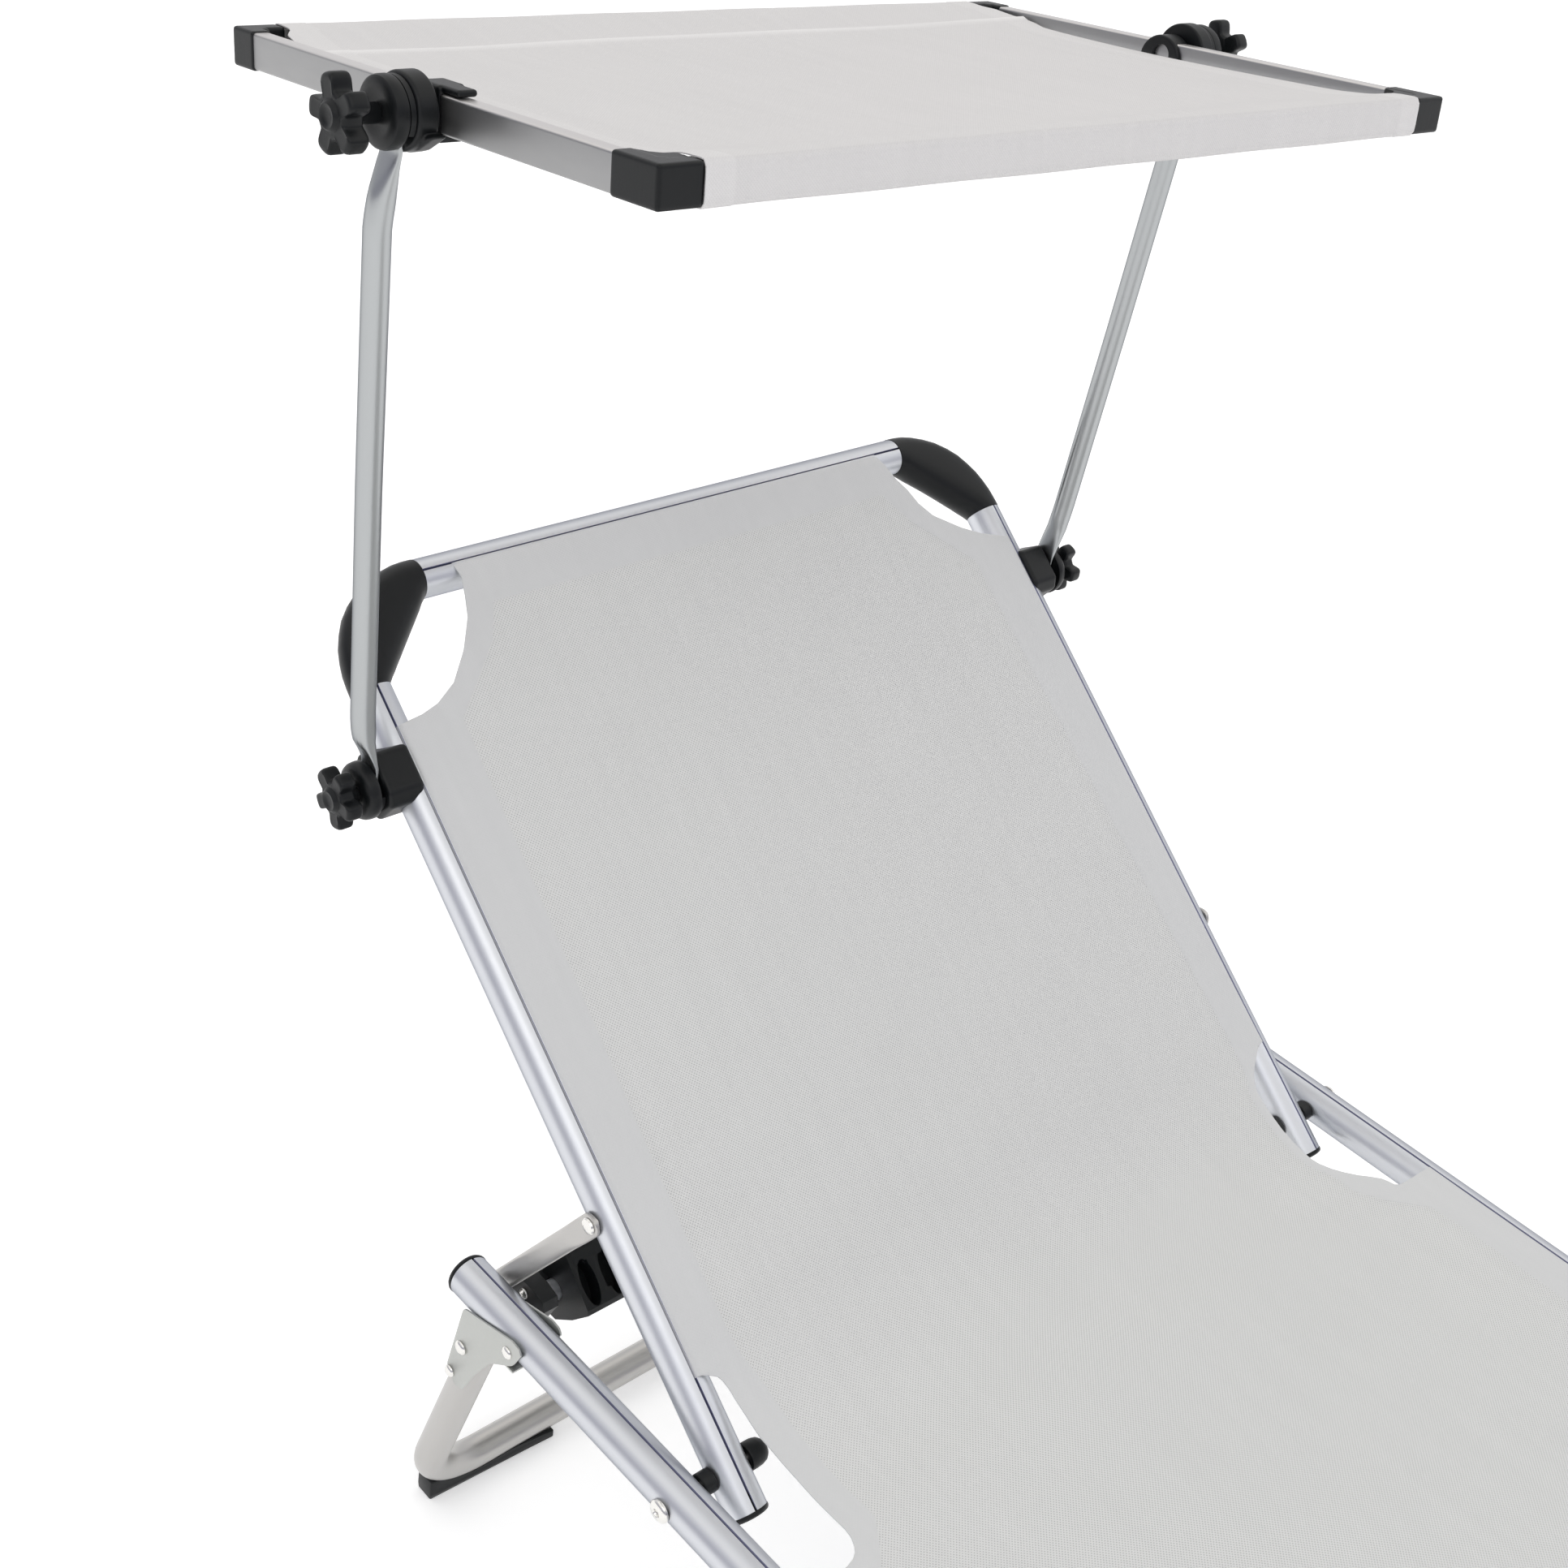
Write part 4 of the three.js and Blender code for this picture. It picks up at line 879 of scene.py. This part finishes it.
def collar(h0, h1, r0, r1, centre, half):
    """part of a ring round the hinge between the two clamp halves, open where the arm moves"""
    n = 48
    vs, fs = [], []
    for i in range(n + 1):
        q = (centre - half + 2 * half * i / n) * D
        for r, h in ((r0, h0), (r1 - 0.4, h0), (r1, h0 + 0.4), (r1, h1), (r0, h1)):
            vs.append((-h, r * math.cos(q), r * math.sin(q)))
    for i in range(n):
        for k in range(5):
            j = (k + 1) % 5
            fs.append((i * 5 + k, i * 5 + j, (i + 1) * 5 + j, (i + 1) * 5 + k))
    fs.append(tuple(range(5)))
    fs.append(tuple(n * 5 + k for k in range(5)))
    return vs, fs


LOWDIR = -128.8          # away from the arm, in the backrest's own directions
for side, m in SIDES:
    # lower clamp: hexagonal saddle on the tube, turntable disc, room for the arm's eye between
    C = BK @ m @ T(0, 488, 0)
    hexa = [(-20, -13), (-12, -17.3), (16, -17.3), (24, -2), (17, 17.3), (-12, 17.3), (-20, 10)]
    parts = [(*prism(hexa, -323.2, -296.2, 3.0, 4), C), (*lathe([(0, 0), (15.6, 0), (15.9, 1.5), (15.4, 3.4), (0, 3.4)], 56, -320), C)]
    o = fuse(join(f"arm_lower_clamp_{side}", parts), 0.55, 2, 0.4)
    v, f = sweep([(-295, -70, 0), (-295, 70, 0)], ring(14.25, 64))
    carve(o, mesh_object("cut", v, f, C))
    settle(o, "lower_clamps", BLACK, [f"lower_clamp_{side}"])
    v, f = lathe([(0, -9), (19.2, -9), (19.6, -8.3), (19.6, -6), (19.2, -3.2), (18.2, -1.3), (16, 0), (9, 0.4), (8.2, 0.0), (0, 0.0)], 72, -337)
    v2, f2 = lathe([(0, 0), (4.9, 0), (4.9, 9), (0, 9)], 32, -321)
    o = join(f"arm_lower_clamp_disc_{side}", [(v, f, C), (v2, f2, C), (*collar(323.5, 328.2, 14.0, 16.5, LOWDIR, 96), C)])
    settle(o, "lower_clamps", BLACK)
    v, f = star_knob(21, -342.6, -354)
    st = lathe([(0, 0), (7.0, 0), (7.0, 4.5), (8.2, 5.6), (0, 5.6)], 40, -337.5)
    o = join(f"arm_lower_star_knob_{side}", [(v, f, C), (*st, C)])
    settle(o, f"lower_knob_{side[0]}", BLACK, [f"lower_knob_{side}"])

    # upper clamp: jaw round the canopy bar, drum, skirt, outer disc
    up = UP_NEAR if side == "left" else UP_FAR
    U = FR @ T(*up) @ HROT @ m
    inv = CAN.inverted() @ (FR @ up)
    xb = (-1.4, 16.0) if side == "left" else (640 - 16.0, 641.4)
    if side == "left":
        jaw = rbox((xb[0], inv.y - 11, -4.6), (xb[1], inv.y + 11, 25.6), 2.4, 4)
    else:                                                # the far jaw shows its rounded back with a window
        arch = [(inv.y - 15, -4.6), (inv.y + 21.5, -4.6)]
        arch += [(inv.y + 3.25 + 18.25 * math.cos(math.pi * i / 18), 8 + 17.8 * math.sin(math.pi * i / 18)) for i in range(19)]
        jaw = prism(arch, xb[0] + 2, xb[1], 1.6, 4)
    parts = [(*jaw, CAN),
        (*lathe([(0, 0), (20.2, 0), (21, 1.0), (21, 11.4), (20.5, 12.6), (19.4, 13.1), (12, 13.2), (0, 13.2)], 72), U),
        (*lathe([(0, 13), (9.5, 13), (8.6, 14.2), (0, 14.2)], 48), U),
        (*prism([(-27, -6.5), (-20, -12), (-12, -18), (-4, -21.5), (8, -21), (12, -8)], -8.5, 2, 1.8, 3), U)]
    xm = (xb[0] + xb[1]) / 2
    if side == "left":
        parts.append((*rbox((xb[0] + 2, inv.y - 27, 21.6), (xb[1] - 3, inv.y + 8, 25.6), 1.8, 4), CAN))
    o = fuse(join(f"canopy_clamp_{side}", parts), 0.55, 3, 0.4)
    v, f = rbox((0 - 0.3, -60, -0.3), (11.3, 480, 21.3), 1.6, 3) if side == "left" else rbox((629 - 0.3, -60, -0.3), (640.3, 480, 21.3), 1.6, 3)
    carve(o, mesh_object("cut", v, f, CAN))
    if side == "right":
        v, f = sweep([(618, inv.y + 2, 12.2), (634, inv.y + 2, 12.2)], ring(7.6, 48))
        carve(o, mesh_object("cut", v, f, CAN))
    settle(o, "upper_clamps", BLACK, [f"upper_clamp_{side}"])
    v, f = lathe([(0, 16.7), (12, 16.7), (18.4, 16.8), (19.4, 17.6), (19.6, 19), (19.6, 22.6), (19.0, 24.8), (17.4, 26), (12, 26.2), (9, 25.4), (0, 25.2)], 72)
    v2, f2 = lathe([(0, 12.9), (4.9, 12.9), (4.9, 18), (0, 18)], 32)
    o = join(f"canopy_clamp_disc_{side}", [(v, f, U), (v2, f2, U), (*collar(13.25, 16.9, 15.4, 19.3, 93, 112), U)])
    settle(o, "upper_clamps", BLACK)
    v, f = star_knob(22, -41.5, -54)
    st = lathe([(0, 26.2), (5.6, 26.2), (5.6, 38.0), (7.4, 42), (0, 42)], 40)
    o = join(f"canopy_star_knob_{side}", [(v, f, U), (*st, U)])
    settle(o, f"upper_knob_{side[0]}", BLACK, [f"upper_knob_{side}"])

# ---------------------------------------------------------------- canopy arms
for side, s in (("left", -1), ("right", 1)):
    up_ = UP_NEAR if side == "left" else UP_FAR
    low_ = Vector((s * 325.6, 488 * math.cos(THETA), 488 * math.sin(THETA)))
    top_ = HROT.to_3x3() @ Vector((s * 14.9, 0, 0)) + up_
    u = Vector((0, top_.y - low_.y, top_.z - low_.z))
    L = u.length
    u.normalize()
    xs = lambda t: s * (325.6 + ((abs(top_.x) - 325.6) * t) / L)
    offs = [(0, 0), (20, 0), (27, 1.8), (40, 5.2), (58, 6.6), (L / 2, 8), (L - 62, 8), (L - 44, 5.5), (L - 29, 2.6), (L - 20, 0.4), (L - 14, 0), (L, 0)]
    off = lambda t: float(np.interp(t, [a for a, _ in offs], [b_ for _, b_ in offs]))
    ts = [-8.8, -8.5, -7.8, -6.6, -5, -3, -1, 2, 8, 14, 20, 24, 28, 32, 36, 40, 45, 50, 56, 62] + [62 + (L - 132) * i / 12 for i in range(1, 13)]
    ts += [L - 64, L - 58, L - 52, L - 47, L - 42, L - 37, L - 33, L - 29, L - 25, L - 21, L - 17, L - 12, L - 6, L, L + 3, L + 5, L + 6.6, L + 7.8, L + 8.5, L + 8.8]
    verts, faces = [], []
    n = 40
    for t in ts:
        w = min(max((min(t, L - t) - 17) / 34, 0), 1)
        w = w * w * (3 - 2 * w)
        th_, wd = 1.6 + 6.4 * w, 8.8 + (8 - 8.8) * w
        if t < 0:
            wd = math.sqrt(max(8.8 ** 2 - t * t, 0.6))
        if t > L:
            wd = math.sqrt(max(8.8 ** 2 - (t - L) ** 2, 0.6))
        c = Vector((xs(t) + s * off(t), low_.y, low_.z)) + u * t
        c.y, c.z = (low_ + u * t).y, (low_ + u * t).z
        ax = Vector((1, 0, 0)) if t < L / 2 else HINGE
        ex = (Vector((1, 0, 0)).lerp(HINGE, min(max(t / L, 0), 1))).normalized()
        ey = u.cross(ex).normalized()
        e_ = 1.0 if w > 0.999 else (0.35 + 0.65 * w)      # squarer section where it is pressed flat
        for i in range(n):
            q = 2 * math.pi * i / n
            cx, sy = math.cos(q), math.sin(q)
            verts.append(tuple(c + ex * (th_ * math.copysign(abs(cx) ** e_, cx)) + ey * (wd * math.copysign(abs(sy) ** (0.6 + 0.4 * w), sy))))
    K = len(ts)
    for a in range(K - 1):
        for i in range(n):
            j = (i + 1) % n
            faces.append((a * n + i, a * n + j, (a + 1) * n + j, (a + 1) * n + i))
    faces.append(tuple(range(n)))
    faces.append(tuple((K - 1) * n + i for i in range(n)))
    o = mesh_object(f"canopy_support_arm_{side}", verts, faces, FR, smooth=50)
    settle(o, "canopy_arms", ARMMAT, [f"canopy_arm_{side}"])

# ---------------------------------------------------------------- canopy frame
W, LC, H, TT = 640, 416, 21, 11
for nm, a, b_ in (("left", (0, 20, 0), (TT, LC - 20, H)), ("right", (W - TT, 20, 0), (W, LC - 20, H))):
    v, f = rbox(a, b_, 1.8, 5)
    settle(mesh_object(f"canopy_side_bar_{nm}", v, f, CAN, smooth=40), "canopy", BARMAT, [f"canopy_bar_{nm}"])
for nm, y0 in (("front", 0), ("rear", LC - TT)):
    v, f = rbox((20, y0, 0), (W - 20, y0 + TT, H), 1.8, 5)
    settle(mesh_object(f"canopy_{nm}_cross_bar", v, f, CAN, smooth=40), "canopy", BARMAT, [f"canopy_{nm}_bar"])


def corner(fx, fy):
    e_, S, E = 0.9, (23.7 if fy else 37.7), 27.7
    parts = [rbox((-e_, -e_, -e_), (TT + e_, S, H + e_), 2.0, 4), rbox((-e_, -e_, -e_), (E, TT + e_, H + e_), 2.0, 4)]
    if not fy:
        parts.append(rbox((22, 8, 12.6), (30, 22, 19.8), 1.0, 3))      # tongue inside the sleeve
    M = CAN
    if fx:
        M = M @ T(W, 0, 0) @ MX
    if fy:
        M = M @ T(0, LC, 0) @ Matrix.Scale(-1, 4, Vector((0, 1, 0)))
    # a rounded outer corner
    parts.append(rbox((-e_, -e_, -e_), (TT + 5, TT + 5, H + e_), 2.6, 4))
    g = [(9, 9), (27.1, 9), (27.1, 22), (21, 23), (16, 27), (12.4, min(36, S - 1)), (9, min(36, S - 1))]
    n = len(g)                                           # gusset across the inner corner, front only
    if not fy:
        parts.append(([(x, y, w) for w in (6, H + 0.5) for x, y in g], [tuple(range(n)), tuple(n + i for i in range(n))] + [(i, (i + 1) % n, n + (i + 1) % n, n + i) for i in range(n)]))
    return [(v, f, M) for v, f in parts]


for nm, fx, fy in (("front_left", 0, 0), ("front_right", 1, 0), ("rear_left", 0, 1), ("rear_right", 1, 1)):
    o = fuse(join(f"canopy_corner_block_{nm}", corner(fx, fy)), 0.55, 2, 0.4)
    settle(o, "canopy", BLACK, [f"canopy_corner_{nm}"])

# canopy sheet: a sleeve round the front and rear bars and one sheet between them
def spline(pts, step):
    out = []
    n = len(pts)
    for i in range(n - 1):
        p0 = Vector(pts[max(i - 1, 0)]); p1 = Vector(pts[i]); p2 = Vector(pts[i + 1]); p3 = Vector(pts[min(i + 2, n - 1)])
        k = max(1, int((p2 - p1).length / step))
        for q in range(k):
            t = q / k
            out.append(0.5 * ((2 * p1) + (p2 - p0) * t + (2 * p0 - 5 * p1 + 4 * p2 - p3) * t * t + (3 * p1 - p0 - 3 * p2 + p3) * t ** 3))
    out.append(Vector(pts[-1]))
    return out


o_ = 1.3
front = [(TT + 26, 14.6), (TT + 16, 12.6), (TT + 6, 7), (TT + o_ + 0.6, 2.4), (TT - 1.6, -o_), (5, -o_ - 0.1), (0.8, -o_ + 0.1), (-o_, 1.6), (-o_ - 0.15, H / 2), (-o_, H - 2), (0.6, H + o_ - 0.3), (3, H + o_), (TT - 2, H + o_ - 0.1)]
mid_ = [(TT + 8, H + 0.6), (TT + 22, H - 2.2), (TT + 40, 16.2), (70, 14.6), (120, 13.6), (208, 13.2), (296, 13.6), (LC - 80, 14.4), (LC - 58, 15.8), (LC - TT - 30, 18.0), (LC - TT - 14, H - 0.6), (LC - TT - 2, H + 0.9)]
rear = [(LC - 3, H + o_), (LC - 0.6, H + o_ - 0.3), (LC + o_, H - 2), (LC + o_ + 0.15, H / 2), (LC + o_, 1.6), (LC - 0.8, -o_ + 0.1), (LC - 5, -o_ - 0.1), (LC - TT + 1.6, -o_), (LC - TT - 4, 3), (LC - TT - 18, 8), (LC - 50, 11.8), (LC - 58, 13.2)]
line = spline(front + mid_ + rear, 4.0)
arcs = [0.0]
for p, q in zip(line, line[1:]):
    arcs.append(arcs[-1] + (q - p).length)
X0, X1 = 27.2, W - 27.2
xs_ = [X0, X0 + 1.2, X0 + 3, X0 + 17, X0 + 18.4, X0 + 19.6]
xs_ = xs_ + [X0 + 26 + (X1 - X0 - 52) * i / 44 for i in range(45)] + [X0 + X1 - x for x in reversed(xs_)]
top, uvs, hem, nr = [], [], [], []
for i, p in enumerate(line):
    d = (line[min(i + 1, len(line) - 1)] - line[max(i - 1, 0)]).normalized()
    nx_ = Vector((-d.y, d.x)) * -1
    y = p.x
    between = bump(y, 27, 62, LC - 70, LC - 22) if p.y > 9 and 20 < i < len(line) - 20 else 0.0
    for j, x in enumerate(xs_):
        u_ = (x - W / 2) / (W / 2)
        h = 1.0 if (x < X0 + 18.6 or x > X1 - 18.6) else 0.0
        # the sheet's open sides run a little outside the sleeves' ends, hems are doubled
        wide = 6.0 * between + 7.0 * (bump(y, LC - 84, LC - 60, LC - 30, LC - 17) if p.y > 9 and 20 < i < len(line) - 20 else 0.0)
        spread = wide * (-1 if x < W / 2 else 1) * max(0.0, (abs(u_) - 0.80) / 0.11)
        sag = between * 1.2 * (1 - u_ * u_) + between * 0.7 * math.sin(x * 0.017) * math.sin(y * 0.02)
        seam = 2.0 * math.exp(-((y - (LC - 60 + 14 * (x / W - 0.5))) / 3.0) ** 2) * (1 if between > 0 else 0)
        puff = 0.5 * math.sin(x * 0.05 + 1.0) * (0.35 if between == 0 else 0.0)
        lift = 0.3 * h
        top.append((x + spread, y + nx_.x * (puff + lift) * -1, p.y - sag + seam - nx_.y * (puff + lift)))
        nr.append(nx_)
        uvs.append(((x + spread) * 0.001, arcs[i] * 0.001))
        hem.append(max(h * 0.15, 0.95 * math.exp(-((y - (LC - 60 + 14 * (x / W - 0.5))) / 2.6) ** 2) * (1 if between > 0 else 0)))
th = 0.7
bottom = [(p[0], p[1] + n_.x * th, p[2] + n_.y * th) for p, n_ in zip(top, nr)]
K, cols, R = len(top), len(xs_), len(line)
faces = []
for i in range(R - 1):
    for j in range(cols - 1):
        a, b_, c, d = i * cols + j, i * cols + j + 1, (i + 1) * cols + j + 1, (i + 1) * cols + j
        faces.append((a, d, c, b_))
        faces.append((K + a, K + b_, K + c, K + d))
for j in range(cols - 1):
    faces.append((j, j + 1, K + j + 1, K + j))
    a = (R - 1) * cols
    faces.append((a + j + 1, a + j, K + a + j, K + a + j + 1))
for i in range(R - 1):
    a, b_ = i * cols, (i + 1) * cols
    faces.append((b_, a, K + a, K + b_))
    a, b_ = i * cols + cols - 1, (i + 1) * cols + cols - 1
    faces.append((a, b_, K + b_, K + a))
o = mesh_object("canopy_sheet", top + bottom, faces, CAN, uvs=uvs + uvs, hem=hem + hem, mats=(CLOTH,), smooth=60)
settle(o, "canopy", None, ["canopy_fabric"])

# ---------------------------------------------------------------- floor, light, camera
fm, nt, b = material("floor_white", (0.90, 0.90, 0.90), 0.9, 0.0, 0.0)
b.inputs["Emission Color"].default_value = (1, 1, 1, 1)
b.inputs["Emission Strength"].default_value = 0.35
floor = mesh_object("studio_floor", [(-30, -30, 0), (30, -30, 0), (30, 30, 0), (-30, 30, 0)], [(0, 1, 2, 3)])
floor.data.materials.append(fm)
floor.location.z = -0.0005

world = bpy.data.worlds.new("studio")
bpy.context.scene.world = world
world.use_nodes = True
nt = world.node_tree
bg = nt.nodes["Background"]
tc = node(nt, "ShaderNodeTexCoord")
sp = node(nt, "ShaderNodeSeparateXYZ")
nt.links.new(tc.outputs["Generated"], sp.inputs[0])
cr = node(nt, "ShaderNodeValToRGB")
cr.color_ramp.elements[0].position = 0.0
cr.color_ramp.elements[0].color = (0.33, 0.33, 0.39, 1)
cr.color_ramp.elements[1].position = 1.0
cr.color_ramp.elements[1].color = (0.84, 0.84, 0.84, 1)
for p, c in ((0.20, (0.39, 0.39, 0.46, 1)), (0.36, (0.55, 0.55, 0.61, 1)), (0.56, (0.82, 0.83, 0.87, 1)), (0.72, (1.30, 1.27, 1.22, 1)), (0.88, (1.0, 1.0, 1.0, 1))):
    el = cr.color_ramp.elements.new(p)
    el.color = c
nt.links.new(sp.outputs[2], cr.inputs[0])
# brighter towards the side that the camera looks to
cr2 = node(nt, "ShaderNodeValToRGB")
cr2.color_ramp.elements[0].position = 0.0
cr2.color_ramp.elements[0].color = (0.80, 0.80, 0.82, 1)
cr2.color_ramp.elements[1].position = 1.0
cr2.color_ramp.elements[1].color = (0.84, 0.84, 0.84, 1)
for p, c in ((0.5, (0.88, 0.88, 0.90, 1)), (0.74, (1.30, 1.27, 1.22, 1)), (0.9, (0.95, 0.95, 0.95, 1))):
    el = cr2.color_ramp.elements.new(p)
    el.color = c
nt.links.new(sp.outputs[2], cr2.inputs[0])
away = val(nt, "ADD", val(nt, "MULTIPLY", sp.outputs[0], 0.73), val(nt, "MULTIPLY", sp.outputs[1], 0.69))
mr = node(nt, "ShaderNodeMapRange", interpolation_type="SMOOTHSTEP")
mr.inputs["From Min"].default_value = -0.25
mr.inputs["From Max"].default_value = 0.55
nt.links.new(away, mr.inputs["Value"])
mx = node(nt, "ShaderNodeMix", data_type="RGBA")
nt.links.new(mr.outputs["Result"], mx.inputs["Factor"])
nt.links.new(cr.outputs[0], mx.inputs["A"])
nt.links.new(cr2.outputs[0], mx.inputs["B"])
nt.links.new(mx.outputs["Result"], bg.inputs["Color"])
bg.inputs["Strength"].default_value = 0.98


def area(name, loc, aim, size, power, color=(1, 1, 1)):
    l = bpy.data.lights.new(name, "AREA")
    l.shape = "RECTANGLE"
    l.size, l.size_y = size
    l.energy = power
    l.color = color
    o = bpy.data.objects.new(name, l)
    o.location = loc
    o.rotation_euler = (Vector(aim) - Vector(loc)).to_track_quat("-Z", "Y").to_euler()
    bpy.context.scene.collection.objects.link(o)
    return o


area("key", (-2.6, -1.6, 3.2), (0, 0.2, 0.5), (2.4, 2.4), 14)
area("fill", (2.8, -1.2, 2.2), (0, 0.2, 0.4), (2.0, 2.0), 5)

cam = bpy.data.cameras.new("camera")
cam.sensor_width = 36
cam.lens = 49.668
cam.clip_end = 200
co = bpy.data.objects.new("camera", cam)
bpy.context.scene.collection.objects.link(co)
yaw, pitch, roll = 0.8148571356816221, 0.5658576786238403, -0.15953085935510478
d = Vector((math.sin(yaw) * math.cos(pitch), math.cos(yaw) * math.cos(pitch), -math.sin(pitch)))
r = Vector((math.cos(yaw), -math.sin(yaw), 0))
dn = d.cross(r)
right = math.cos(roll) * r + math.sin(roll) * dn
down = -math.sin(roll) * r + math.cos(roll) * dn
R3 = Matrix((right, -down, -d)).transposed()
co.matrix_world = T(-0.985897, -0.269732, 1.368025) @ R3.to_4x4()
bpy.context.scene.camera = co
bpy.context.scene.view_settings.view_transform = "Standard"

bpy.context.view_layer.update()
